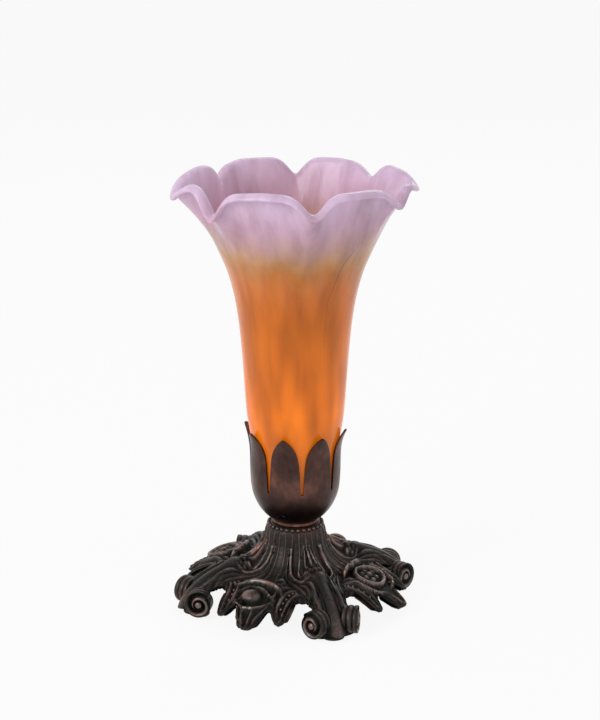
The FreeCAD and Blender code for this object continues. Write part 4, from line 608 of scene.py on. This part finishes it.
stroke([(15, 37.3), (18, 37.1), (21, 38), (24, 41.2), (26.6, 45.8), (28, 50)], 1.1, 1.6)
stroke([(19, 33.6), (23, 34.2), (26.6, 36.6), (29.2, 40.2), (30.4, 44.4), (29.8, 48)], 1.2, 1.6)
stroke([(22, 31.4), (27, 31.2), (31, 33), (33.6, 36.4), (34.4, 40), (33.4, 43)], 1.1, 1.4)
stroke([(0, 14.5), (0, 18), (0, 22)], 0.8, 1.2)
stroke([(5, 14.5), (7, 18), (8, 21), (5, 23.4)], 0.8, 1.1)
stroke([(13, 15), (15, 18.5), (16, 21.5), (12.5, 23.8)], 0.8, 1.1)
for degrees, radius in ((8.5, 25.4), (5.2, 25.2), (7, 27.3), (10.6, 26.6), (10, 24)):
    dome(degrees, radius, 1.2, 1.0, 1.6, LEG)
dome(0.0, 25.2, 1.7, 2.0, 1.7, LEG)
print("the strokes on the legs are up to", round(float(relief.max()), 1), "mm high")

# %% Sculpt two of the sides, each with a boss in the shape of an eye
dome(-4, 40.3, 5.0, 3.9, 3.4, EYE)
stroke([(-17, 40.5), (-11, 36.6), (-4, 35), (4, 36.4), (12, 41.0)], 1.4, 2.0, EYE)
stroke([(-16, 42), (-10, 45.4), (-4, 46.4), (3, 45.2), (12, 41.0)], 1.3, 1.9, EYE)
stroke([(-20, 37), (-13, 32.8), (-4, 31.2), (6, 32), (13, 34.6), (16, 38)], 1.9, 3.4, EYE)
stroke([(-10, 33.5), (-2, 31.5), (7, 29.6), (13, 30.2), (15, 32.4), (12.4, 33.4)], 1.0, 1.5, EYE)
stroke([(4, 27), (9, 25.4), (14, 25.8), (15, 28), (11.5, 28.6), (10.6, 27)], 0.9, 1.3, EYE)
stroke([(-11, 44), (-8, 47.5), (-5, 51), (-3, 54.5)], 0.9, 1.3, EYE)
stroke([(-5, 46), (-4, 49.5), (-2, 53), (-1, 55.5)], 0.9, 1.5, EYE, (0.9, 0.5))
stroke([(1, 46.5), (0.8, 50), (0.8, 54)], 0.9, 1.5, EYE, (0.9, 0.5))
stroke([(9, 43), (6.5, 46.5), (4, 50), (2.8, 53.5)], 0.9, 1.3, EYE)

# %% Sculpt the other two sides, each with seven berries in a bowl
BOWL_MIDDLE = 36.5
BOWL_RIM = [(11 * math.cos(step * math.pi / 6), BOWL_MIDDLE + 6.2 * math.sin(step * math.pi / 6))
            for step in range(13)]
stroke(BOWL_RIM, 1.5, 3.0, BOWL_SIDE, (1, 1))
for step in range(6):
    turn = step * math.pi / 3
    dome(5.0 * math.cos(turn), BOWL_MIDDLE + 3.2 * math.sin(turn), 1.8, 1.8, 2.4, BOWL_SIDE)
dome(0, BOWL_MIDDLE, 1.9, 1.9, 3.0, BOWL_SIDE)
for hand in (-1, 1):
    stroke([(22 * hand, 33), (17 * hand, 36), (14 * hand, 41), (10 * hand, 45), (3 * hand, 46.6)],
           1.4, 2.4, BOWL_SIDE)
    stroke([(18 * hand, 30), (13 * hand, 28.2), (6 * hand, 27), (0, 26.8)],
           1.7, 4.2, BOWL_SIDE, (0.4, 1))
    stroke([(5 * hand, 46.5), (4 * hand, 50), (3 * hand, 52.5)], 0.8, 1.0, BOWL_SIDE)
dome(0, 27.6, 2.6, 2.0, 5.2, BOWL_SIDE, power=0.8)
stroke([(-3, 47), (-1, 51), (0, 54.5)], 1.0, 1.3, BOWL_SIDE)
print("with the sides the relief is up to", round(float(relief.max()), 1), "mm high")

# %% Roll the skirt's edge, and fire the clay: every point moves out by its relief
ROLLED_EDGE = 1.6
edge = reach - clay_radius
beside_leg = np.abs(leg_offset(clay_angle)) > 10
rolled = 0.5 * np.cos((edge - ROLLED_EDGE / 2) * math.pi / ROLLED_EDGE) - 0.3
relief += np.where((edge < ROLLED_EDGE) & beside_leg, rolled, 0)
shaped = around_axis(clay_radius + relief * out_share, np.radians(clay_angle),
                     clay_height + relief * up_share)
write_points(foot, shaped)

# %% Note where the finish will wear: where the relief stands above the blurred relief round it
BLUR_PASSES = 2
WEAR_GAIN = 0.8
EVEN_WEAR = 0.34
NECK_WEAR = 0.24


def set_wear(piece, values):
    piece.data.attributes.new("wear", "FLOAT", "POINT").data.foreach_set("value", values)


rows = np.abs(flat_radius[:, None] - ring_radii[None, :]).argmin(axis=1)
columns = np.round(clay_angle / (360 / FOOT_COLUMNS)).astype(int) % FOOT_COLUMNS
sheet = np.zeros((FOOT_RINGS, FOOT_COLUMNS))
sheet[rows, columns] = relief
around = sheet.copy()
for blur in range(BLUR_PASSES):
    around = sum(np.roll(around, step, axis=1) for step in range(-3, 4)) / 7
    padded = np.pad(around, ((2, 2), (0, 0)), mode="edge")
    around = sum(padded[step:step + FOOT_RINGS] for step in range(5)) / 5
neck_wear = np.interp(ring_radii, (18, 26), (NECK_WEAR, 0))[:, None]
wear = np.clip(EVEN_WEAR + neck_wear + WEAR_GAIN * (sheet - around), 0, 1)[rows, columns]
set_wear(foot, wear)
print("the wear is", round(float(wear.mean()), 2), "on average")

# %% Give the casting its wall
CASTING_WALL = 2.2
open_piece(foot)
turn_faces(foot, upwards)
close_piece(foot, "foot_relief")
finish_with(foot, "SOLIDIFY", thickness=CASTING_WALL * MM, offset=-1)
print("the casting's skirt has", len(foot.data.polygons), "faces")

# %% [markdown]
# Each leg ends in two volutes, which are drums with a spiral rolled up on the face. A drum is turned
# ring by ring, like the shade. Then the spiral is raised by one rule, by which it widens with every
# turn. A curve with a bevel would give a spiral too, but it would meet the drum with a hard seam.

# %% The volute's measures, with its axis upright
VOLUTE_COLUMNS = 56
VOLUTE_RADIUS = 6.4
# The height of the face that carries the spiral, and the radius of the button in its middle.
FACE_LEVEL = 3.05
EYE_RADIUS = 1.9
# Each turn of the spiral is so many times as far from the eye as the last.
SPIRAL_GROWTH = 2.7
# The height of its ridge, how far that is sunk, and the same of the button.
RIDGE = 2.0
RIDGE_SINK = 1.15
BUTTON = 1.7
BUTTON_SINK = 0.5
# The rolled strip comes over the top, and by its last turn it lies a seventh further in.
ROLL_IN = 0.14
ROLL_START = 0.375
FACE_RINGS = [0.25 + 0.35 * step for step in range(17)]
EDGE = (
    (6.15, 3.5), (6.4, 3.05), (6.4, 2.3), (6.2, 1.7), (5.85, 1.35), (6.2, 1.0), (6.4, 0.4), (6.4, -0.4),
    (6.2, -1.0), (5.85, -1.35), (6.2, -1.7), (6.4, -2.3), (6.35, -3.0), (5.9, -3.5), (4.0, -3.6),
    (0.25, -3.6),
)


# %% Turn a volute, raise its spiral, and roll its strip in
def turn_drum():
    profile = [(radius, FACE_LEVEL) for radius in FACE_RINGS] + list(EDGE)
    drum = start_ring(VOLUTE_COLUMNS, profile)
    draw_up(profile)
    bpy.ops.mesh.edge_face_add()
    innermost = (FACE_RINGS[0] + FACE_RINGS[1]) / 2
    pick(drum, lambda co: math.hypot(co.x, co.y) < innermost * MM and co.z > 0)
    bpy.ops.mesh.edge_face_add()
    bpy.ops.mesh.select_all(action="SELECT")
    bpy.ops.mesh.normals_make_consistent(inside=False)
    close_piece(drum, "volute")
    return drum


def make_volute(side):
    volute = turn_drum()
    points = read_points(volute)
    radius = np.hypot(points[:, 0], points[:, 1])
    spin = side * np.arctan2(points[:, 1], points[:, 0]) / (2 * math.pi)
    winding = np.log(radius / EYE_RADIUS) / math.log(SPIRAL_GROWTH) + spin
    on_face = points[:, 2] > FACE_LEVEL - 0.1
    ridge = np.abs(np.cos(winding * math.pi)) ** 1.2 * RIDGE - RIDGE_SINK
    button = np.sqrt(np.clip(1 - (radius / EYE_RADIUS) ** 2, 0, 1)) * BUTTON
    groove = np.interp(radius, (EYE_RADIUS, EYE_RADIUS + 0.5), (0, 1))
    fade = np.interp(radius, (5.2, 6.1), (1, 0.2))
    outer = ridge * groove * fade - BUTTON_SINK * (1 - groove)
    raised = np.where(radius < EYE_RADIUS, button - BUTTON_SINK, outer)
    points[:, 2] += np.where(on_face, raised, 0)
    rolled = ((spin - ROLL_START) % 1) ** 2 * np.clip((radius - EYE_RADIUS) / 4.5, 0, 1)
    points[:, :2] *= (1 - ROLL_IN * rolled)[:, None]
    write_points(volute, points)
    bands = np.clip((radius - 5.85) / 0.55, 0, 1) * 0.55 + 0.15
    worn = np.where(on_face, np.clip(raised * 0.75 + 0.4, 0, 1), bands)
    set_wear(volute, worn)
    return volute


# %% Set two volutes on every leg, and a sole between them
LEGS = 4
FOOT_REACH = 49.0
VOLUTE_ASIDE = 8.2
VOLUTE_FACING = 60.0
VOLUTE_SINK = 0.3
FOOT_BOTTOM = 1.0
# The sole is so many times as wide as it is long, and closes the gap between its two volutes.
SOLE_SPREAD = 2.0
SOLE_RADIUS = 5.4
SOLE_TOP = 2.6
SOLE_HEIGHT = 9.4
extras = []
for number in range(LEGS):
    leg = math.radians(FOOT_TURN + number * QUARTER)
    for side in (-1, 1):
        volute = make_volute(side)
        volute.rotation_euler = (0, math.radians(90), 0)
        settle()
        volute.rotation_euler = (0, 0, leg + side * math.radians(VOLUTE_FACING))
        volute.location = ((FOOT_REACH * math.cos(leg) - side * VOLUTE_ASIDE * math.sin(leg)) * MM,
                           (FOOT_REACH * math.sin(leg) + side * VOLUTE_ASIDE * math.cos(leg)) * MM,
                           (FOOT_BOTTOM + VOLUTE_RADIUS - VOLUTE_SINK) * MM)
        extras.append(settle())
    bpy.ops.mesh.primitive_cone_add(
        vertices=48, radius1=SOLE_RADIUS * MM, radius2=SOLE_TOP * MM, depth=SOLE_HEIGHT * MM,
        location=((FOOT_REACH - 1) * MM, 0, (FOOT_BOTTOM + SOLE_HEIGHT / 2) * MM))
    sole = bpy.context.object
    sole.scale = (1, SOLE_SPREAD, 1)
    settle()
    sole.rotation_euler = (0, 0, leg)
    extras.append(settle())
print("the foot has", len(extras), "volutes and soles")

# %% Turn the flat ring under the neck, on which the washer bears
SEAT = ((5.3, 34.0), (11.0, 34.0), (11.0, 36.2), (5.3, 36.2), (5.3, 34.0))
seat = start_ring(48, SEAT)
draw_up(SEAT)
bpy.ops.mesh.select_all(action="SELECT")
bpy.ops.mesh.remove_doubles(threshold=WELD * MM)
bpy.ops.mesh.normals_make_consistent(inside=False)
close_piece(seat, "seat")
extras.append(seat)
print("the seat has", len(seat.data.polygons), "faces")

# %% [markdown]
# Rows of beads run round the neck and along every arch. Beads are small and many, so each is a
# coarse ball with smooth shading, sunk by a third into the clay below it.

# %% String the beads
NECK_BEADS = 30
NECK_BEAD_REACH = 12.1
NECK_BEAD = 0.92
ARCH_BEAD = 0.72
BEAD_WEAR = 0.85
# A bead's middle stands above the clay by this share of its radius.
BEAD_RISE = 0.3
FOOT_CREASE = math.radians(50)
# The beads of one side of an arch, by their angle from the leg and their radius.
ARCH_BEADS = ((19, 35.2), (21.5, 35.6), (24, 37.2), (26, 39.3), (27.6, 41.8), (28.7, 44.5))


def bead(degrees, radius, size):
    turn = math.radians(degrees)
    away = shaped[:, :2] - (radius * math.cos(turn), radius * math.sin(turn))
    x, y, z = shaped[np.hypot(*away.T).argmin()]
    bpy.ops.mesh.primitive_ico_sphere_add(subdivisions=2, radius=size * MM,
                                          location=(x * MM, y * MM, (z + size * BEAD_RISE) * MM))
    ball = settle()
    set_wear(ball, np.full(len(ball.data.vertices), BEAD_WEAR))
    extras.append(ball)


for number in range(NECK_BEADS):
    bead(360 * number / NECK_BEADS, NECK_BEAD_REACH, NECK_BEAD)
for number in range(LEGS):
    for side in (-1, 1):
        for degrees, radius in ARCH_BEADS:
            bead(FOOT_TURN + number * QUARTER + side * degrees, radius, ARCH_BEAD)
foot = join_all([foot] + extras, "foot_relief")
bpy.ops.object.shade_smooth_by_angle(angle=FOOT_CREASE)
print("the casting has", sum(len(face.vertices) - 2 for face in foot.data.polygons), "triangles")
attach(foot, "stand")
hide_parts("foot_casting")

# %% [markdown]
# ## Finishes
#
# The casting is iron with a bronze patina. The dark lacquer stays in the hollows and is rubbed off
# the high places, where brown metal and, in streaks, bright copper show. The wear was measured on
# the clay, so the material only turns it into colour and gloss.

# %% Texture helpers
def axes_of(tree):
    """The object's own X, Y and Z, each as an output."""
    coordinates = add(tree, "ShaderNodeTexCoord")
    return add(tree, "ShaderNodeSeparateXYZ", [("Vector", coordinates, "Object")])


def noise_of(tree, size, detail=4.0, stretch=1.0, shift=0.0):
    """Cloudy noise whose lumps are size millimetres wide and stretch times as tall."""
    scale = 1 / (size * MM)
    coordinates = add(tree, "ShaderNodeTexCoord")
    place = add(tree, "ShaderNodeMapping", [("Vector", coordinates, "Object")],
                {"Scale": (scale, scale, scale / stretch), "Location": (shift, 0, 0)})
    return add(tree, "ShaderNodeTexNoise", [("Vector", place, "Vector")],
               {"Scale": 1.0, "Detail": detail, "Roughness": 0.55})


def blend_colours(tree, share, first, second, mode="MIX"):
    """Mix two colours. Each may be a colour or a node with its output; the result is output 2."""
    node = add(tree, "ShaderNodeMix", data_type="RGBA", blend_type=mode)
    for socket, value in zip((node.inputs[0], node.inputs[6], node.inputs[7]), (share, first, second)):
        if isinstance(value, tuple) and len(value) == 2:
            tree.links.new(value[0].outputs[value[1]], socket)
        else:
            socket.default_value = value
    return node


def sum_of(tree, first, second, gain, offset=0.0):
    """first + (second - offset) * gain, for two noisy values."""
    shift = add(tree, "ShaderNodeMath", [(0, *second)], {1: offset}, operation="SUBTRACT")
    scaled = add(tree, "ShaderNodeMath", [(0, shift, "Value")], {1: gain}, operation="MULTIPLY")
    return add(tree, "ShaderNodeMath", [(0, *first), (1, scaled, "Value")], operation="ADD",
               use_clamp=True)


def bump_of(tree, surface, source, height):
    """Roughen the surface by so many millimetres."""
    bump = add(tree, "ShaderNodeBump", [("Height", *source)],
               {"Distance": height * MM, "Strength": 1.0})
    wire(tree, surface, [("Normal", bump, "Normal")])


def put_on(material, *objects):
    for piece in objects:
        if not piece.material_slots:
            piece.data.materials.append(material)
        for holder in piece.material_slots:
            holder.material = material


# %% Cast iron with a rubbed bronze patina: dark in the hollows, brown and copper on the ridges
patina, tree, surface = new_material("cast_iron_bronze_patina")
worn = add(tree, "ShaderNodeAttribute", attribute_name="wear")
grit = noise_of(tree, 1.1, detail=6.0)
uneven = sum_of(tree, (worn, "Fac"), (grit, "Fac"), 0.55, 0.5)
brown = ramp(tree, uneven, "Value", ((0.0, "0a0908"), (0.32, "1a1816"), (0.55, "292522"),
                                     (0.78, "463d39"), (1.0, "6e635d")))
copper = ramp(tree, uneven, "Value", ((0.0, "0d0a09"), (0.32, "241b18"), (0.55, "3d2e29"),
                                      (0.75, "5c4038"), (1.0, "86574a")))
streaks = noise_of(tree, 11.0, detail=3.0)
where_rubbed = ramp(tree, streaks, "Fac", ((0.5, grey(0)), (0.72, grey(1))))
coat = blend_colours(tree, (where_rubbed, "Color"), (brown, "Color"), (copper, "Color"))
polish = ramp(tree, uneven, "Value", ((0.0, grey(0.6)), (1.0, grey(0.3))))
wire(tree, surface, [("Base Color", coat, 2), ("Roughness", polish, "Color")], {"Metallic": 0.75})
bump_of(tree, surface, (grit, "Fac"), 0.12)
put_on(patina, foot)
print("the patina has", len(tree.nodes), "nodes")

# %% Spun sheet with a mahogany bronze lacquer: satin, with redder patches and painted shade on its underside
# The patches are slid along until the front leaves are the darker ones. The patches are the lacquer's
# own tone, but where they fall also paints highlight and shade on the leaves.
PATCH_AND_HIGHLIGHT_SHIFT = 0.9
# Shade is painted on the bowl, darker downwards between these heights in millimetres.
UNDERSIDE_SHADE = (40.5, 56)
sheet_coat, tree, surface = new_material("mahogany_bronze_sheet")
patches = noise_of(tree, 9.0, detail=5.0, stretch=1.6, shift=PATCH_AND_HIGHLIGHT_SHIFT)
tone = ramp(tree, patches, "Fac", ((0.3, "33231f"), (0.5, "4d352f"), (0.7, "785043")))
depth = add(tree, "ShaderNodeMapRange", [("Value", axes_of(tree), "Z")],
            {"From Min": UNDERSIDE_SHADE[0] * MM, "From Max": UNDERSIDE_SHADE[1] * MM})
# Painted shade: the bowl's colour is multiplied darker towards its bottom.
painted_underside_shade = ramp(tree, depth, "Result", ((0.0, "3d3836"), (0.45, "a39c99"), (1.0, "ffffff")))
under = blend_colours(tree, 1.0, (tone, "Color"), (painted_underside_shade, "Color"), "MULTIPLY")
satin = ramp(tree, patches, "Fac", ((0.3, grey(0.42)), (0.7, grey(0.27))))
wire(tree, surface, [("Base Color", under, 2), ("Roughness", satin, "Color")], {"Metallic": 0.8})
fine = noise_of(tree, 0.6, detail=3.0)
bump_of(tree, surface, (fine, "Fac"), 0.03)
put_on(sheet_coat, cup)
print("the sheet's lacquer has", len(tree.nodes), "nodes")

# %% [markdown]
# Opal glass is cloudy: light soaks in and glows. Here lavender glass was laid over amber, so the
# colours meet in long flames where the glass was drawn out. The bulb inside the stem is lit, and the
# light that the glass passes on is painted on it as a warm glow that fades above the bulb.

# %% Opal glass, blown and drawn: lavender lips over an amber stem
opal, tree, surface = new_material("drawn_opal_glass")
GLASS_FOOT = 46
GLASS_HEIGHT = 157


def up_to(millimetres):
    """How far up the glass a height above the table is, from 0 to 1."""
    return (millimetres - GLASS_FOOT) / GLASS_HEIGHT


axes = axes_of(tree)
level = add(tree, "ShaderNodeMapRange", [("Value", axes, "Z")],
            {"From Min": GLASS_FOOT * MM, "From Max": (GLASS_FOOT + GLASS_HEIGHT) * MM})
flames = noise_of(tree, 11.0, detail=2.0, stretch=5.0)
drawn = sum_of(tree, (level, "Result"), (flames, "Fac"), 0.10, 0.5)
body_colour = ramp(tree, drawn, "Value", (
    (up_to(60), "aa5210"), (up_to(105), "b85c10"), (up_to(135), "be6415"), (up_to(152), "c26719"),
    (up_to(160), "bf742c"), (up_to(166), "be8a5a"), (up_to(173), "be968e"), (up_to(183), "c8a2b6"),
    (up_to(197), "dbc1dc"),
))
veins = noise_of(tree, 6.0, detail=3.0, stretch=9.0)
cloud = ramp(tree, veins, "Fac", ((0.32, "e9e3e2"), (0.6, "ffffff")))
clouded = blend_colours(tree, 1.0, (body_colour, "Color"), (cloud, "Color"), "MULTIPLY")

# %% One fine dark line that was drawn out with the glass, by its height and its turn in degrees
DRAWN_LINE = (
    (105, -57.5), (125, -59), (142.5, -60), (148.5, -59.5), (153, -56.5), (156.5, -55), (160.5, -54),
    (164.5, -52.5), (168, -49), (172.5, -44), (176, -38),
)
LINE_TURNS = (-62, -35)
LINE_HALF_WIDTH = 0.014
first_turn, last_turn = LINE_TURNS
course = ramp(tree, level, "Result", [
    (up_to(height), grey((turn - first_turn) / (last_turn - first_turn)))
    for height, turn in DRAWN_LINE])
wanted = add(tree, "ShaderNodeMapRange", [("Value", course, "Color")],
             {"To Min": math.radians(first_turn), "To Max": math.radians(last_turn)})
here = add(tree, "ShaderNodeMath", [(0, axes, "Y"), (1, axes, "X")], operation="ARCTAN2")
gap = add(tree, "ShaderNodeMath", [(0, here, "Value"), (1, wanted, "Result")], operation="SUBTRACT")
gap = add(tree, "ShaderNodeMath", [(0, gap, "Value")], operation="ABSOLUTE")
line = add(tree, "ShaderNodeMapRange", [("Value", gap, "Value")],
           {"From Min": 0.0, "From Max": LINE_HALF_WIDTH, "To Min": 0.75, "To Max": 0.0})
ends = ramp(tree, level, "Result", (
    (up_to(104), grey(0)), (up_to(120), grey(0.45)), (up_to(146), grey(0.7)), (up_to(156), grey(1)),
    (up_to(168), grey(1)), (up_to(176), grey(0)),
))
line = add(tree, "ShaderNodeMath", [(0, line, "Result"), (1, ends, "Color")], operation="MULTIPLY")
lined = blend_colours(tree, (line, "Value"), (clouded, 2), colour("7c4427"))
wire(tree, surface, [("Base Color", lined, 2)])
print("the drawn line is", DRAWN_LINE[-1][0] - DRAWN_LINE[0][0], "mm long")

# %% Paint the bulb's light on the glass as a glow, and give it its soft depth and its ripple
# The noise is slid along until a bright wisp of painted glow stands in front of the bulb.
WISP_SHIFT = 1.3
# Painted light: the glass's emission stands in for the bulb's light shining through it.
glow = ramp(tree, level, "Result", (
    (up_to(48), grey(0.10)), (up_to(72), grey(0.22)), (up_to(94), grey(0.42)), (up_to(112), grey(0.24)),
    (up_to(135), grey(0.13)), (up_to(165), grey(0.10)),
))
glow_tint = ramp(tree, level, "Result", (
    (up_to(60), "ff8412"), (up_to(140), "ff8412"), (up_to(166), "d8a88c"), (up_to(182), "d6bfe0"),
))
flicker = noise_of(tree, 10.0, detail=1.0, stretch=4.0, shift=WISP_SHIFT)
painted_glow_wisps = ramp(tree, flicker, "Fac", ((0.36, grey(0.55)), (0.64, grey(1.5))))
shining = blend_colours(tree, 1.0, (glow, "Color"), (painted_glow_wisps, "Color"), "MULTIPLY")
wire(tree, surface, [("Emission Color", glow_tint, "Color"), ("Emission Strength", shining, 2)], {
    "Roughness": 0.22, "Specular IOR Level": 0.3, "Subsurface Weight": 0.25,
    "Subsurface Scale": 3 * MM, "Subsurface Radius": (1.0, 0.6, 0.5),
})
ripple = noise_of(tree, 5.0, detail=2.0, stretch=6.0)
bump_of(tree, surface, (ripple, "Fac"), 0.25)
put_on(opal, shade)
print("the opal glass has", len(tree.nodes), "nodes")

# %% [markdown]
# The parts from the hardware tray each keep their engineering shape. Most finishes there are one
# base with a finer grain in it, so one function makes them, and each call says what the finish is.

# %% One function for a finish of two tones
def grained(name, on, dark, light, grain, rough, metallic=0.0, bump=0.02, extra=None):
    """Finish the nodes listed in on. rough is for the light places and for the dark ones."""
    material, tree, surface = new_material(name)
    lumps = noise_of(tree, grain, detail=5.0)
    tones = ramp(tree, lumps, "Fac", ((0.35, dark), (0.65, light)))
    gloss = add(tree, "ShaderNodeMapRange", [("Value", lumps, "Fac")],
                {"To Min": rough[1], "To Max": rough[0]})
    wire(tree, surface, [("Base Color", tones, "Color"), ("Roughness", gloss, "Result")],
         {"Metallic": metallic, **(extra or {})})
    bump_of(tree, surface, (lumps, "Fac"), bump)
    put_on(material, *(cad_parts[node] for node in on))


print("the frame has", len(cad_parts), "nodes")

# %% Finishes of the metal parts
# Turned ring under the cup: copper-coloured lacquer, mottled and satin.
grained("copper_bronze_ring", ["seating_ring"], "3d2c27", "7a5244", 3.0, (0.3, 0.42), 0.85)

# Zinc-plated steel: bluish grey crystals, a little dull.
grained("zinc_plated_steel",
        ["lamp_pipe", "base_washer", "base_lock_washer", "base_hex_nut", "cup_washer",
         "socket_bracket"],
        "8d9092", "b4b6b6", 1.5, (0.3, 0.45), 1.0)

# Turned brass, left bare and slightly tarnished.
grained("turned_brass",
        ["cup_lock_nut", "socket_screw_shell", "socket_centre_contact", "socket_terminal_screws",
         "socket_rivet"],
        "a67f3c", "cfae66", 2.5, (0.25, 0.4), 1.0)

# A drop of tin solder, frozen with a crinkled skin.
grained("tin_solder", ["bulb_contact"], "8b8b88", "bcbcb8", 0.6, (0.3, 0.5), 1.0, 0.05)

# Nickel-plated brass: warm silver, drawn bright.
grained("nickel_plated_brass", ["bulb_screw_cap", "bulb_lead_wires"], "a9a69c", "cbc8be", 1.8,
        (0.18, 0.3), 1.0)
print("finishes so far:", len(bpy.data.materials))

# %% Finishes of the felt and the moulded parts
# Pressed wool felt: no shine, and a fuzz of fibres about half a millimetre apart.
grained("pressed_wool_felt", ["felt_pads", "shade_cushion_ring"], "0e0e0e", "1e1d1c", 0.5,
        (0.95, 1.0), bump=0.12, extra={"Sheen Weight": 0.25, "Sheen Roughness": 0.5})

# Moulded nylon: dense black with the fine spark-eroded texture of its mould.
grained("moulded_black_nylon", ["pipe_end_bushing"], "0b0b0c", "17171a", 0.4, (0.4, 0.55), bump=0.03)

# Phenolic resin with wood flour in it: dark brown, mottled, with a waxy shine.
grained("moulded_phenolic_resin", ["socket_body"], "150e0b", "2a1b15", 0.9, (0.35, 0.5))
print("finishes so far:", len(bpy.data.materials))

# %% Finishes of the lit bulb
# Black insulating glass, poured into the cap.
grained("poured_black_glass", ["bulb_insulator"], "050507", "101014", 1.2, (0.08, 0.16))

# Drawn tungsten wire: dark, heavy grey metal, white hot in the middle of a lit bulb.
grained("hot_tungsten_wire", ["bulb_filament"], "3c3a38", "6a6764", 0.3, (0.35, 0.5), 1.0,
        extra={"Emission Color": colour("ffc078"), "Emission Strength": 4.0})

# Clear lead glass of the stem that carries the wires.
grained("clear_lead_glass", ["bulb_stem"], "eef2ee", "ffffff", 2.0, (0.02, 0.06),
        extra={"Transmission Weight": 0.95, "IOR": 1.55})

# Bulb glass etched inside: milky, and lit evenly by the filament.
grained("etched_bulb_glass", ["bulb_glass"], "e9dcc4", "fff4df", 1.5, (0.35, 0.5), bump=0.01,
        extra={"Emission Color": colour("ffb066"), "Emission Strength": 1.2})
print("finishes:", len(bpy.data.materials))

# %% [markdown]
# ## Light and floor
#
# The photograph was taken on white in even studio light. The world is white to the eye and in
# reflections, and lights the lamp with half of that. The floor is paper that shows mostly a glow of
# its own, so that it stays white and still keeps the lamp's soft shadow.

# %% White world and paper floor
WORLD_LIGHT = 0.5
FLOOR_GLOW = 0.9
FLOOR_SIZE = 12


def seen(tree):
    """1 for rays that show the background: straight, mirrored or through glass."""
    rays = add(tree, "ShaderNodeLightPath")
    both = add(tree, "ShaderNodeMath", [(0, rays, "Is Camera Ray"), (1, rays, "Is Glossy Ray")],
               operation="MAXIMUM")
    return add(tree, "ShaderNodeMath", [(0, both, "Value"), (1, rays, "Is Transmission Ray")],
               operation="MAXIMUM")


bpy.ops.mesh.primitive_plane_add(size=FLOOR_SIZE)
floor = bpy.context.object
floor.name = "floor"
paper, tree, surface = new_material("white_paper")
wire(tree, surface, [], {"Base Color": grey(0.9), "Roughness": 1.0, "Specular IOR Level": 0.0})
glow = add(tree, "ShaderNodeEmission", sockets={"Color": grey(1), "Strength": 1.0})
share = add(tree, "ShaderNodeMath", [(0, seen(tree), "Value")], {1: FLOOR_GLOW},
            operation="MULTIPLY")
mixed = add(tree, "ShaderNodeMixShader", [("Fac", share, "Value"), (1, surface, "BSDF"),
                                          (2, glow, "Emission")])
wire(tree, tree.nodes["Material Output"], [("Surface", mixed, "Shader")])
floor.data.materials.append(paper)

world = bpy.data.worlds.new("studio")
bpy.context.scene.world = world
world.use_nodes = True
tree = world.node_tree
strength = add(tree, "ShaderNodeMapRange", [("Value", seen(tree), "Value")],
               {"To Min": WORLD_LIGHT, "To Max": 1.0})
wire(tree, tree.nodes["Background"], [("Strength", strength, "Result")], {"Color": grey(1)})
print("the floor is", FLOOR_SIZE, "m wide")

# %% Three soft lamps, aimed at the middle of the lamp
LAMP_MIDDLE = Vector((0, 0, 0.1))


def soft_lamp(name, place, size, power):
    bpy.ops.object.light_add(type="AREA", location=place)
    lamp = bpy.context.object
    lamp.name = name
    lamp.data.size = size
    lamp.data.energy = power
    lamp.rotation_euler = (LAMP_MIDDLE - Vector(place)).to_track_quat("-Z", "Y").to_euler()


soft_lamp("key_lamp", (-0.8, -0.7, 0.7), 0.6, 6.5)
soft_lamp("fill_lamp", (0.9, -0.6, 0.5), 0.5, 0.6)
soft_lamp("back_lamp", (0.3, 0.8, 0.8), 0.5, 1.5)

# %% Close
bpy.context.scene.view_settings.view_transform = "Standard"
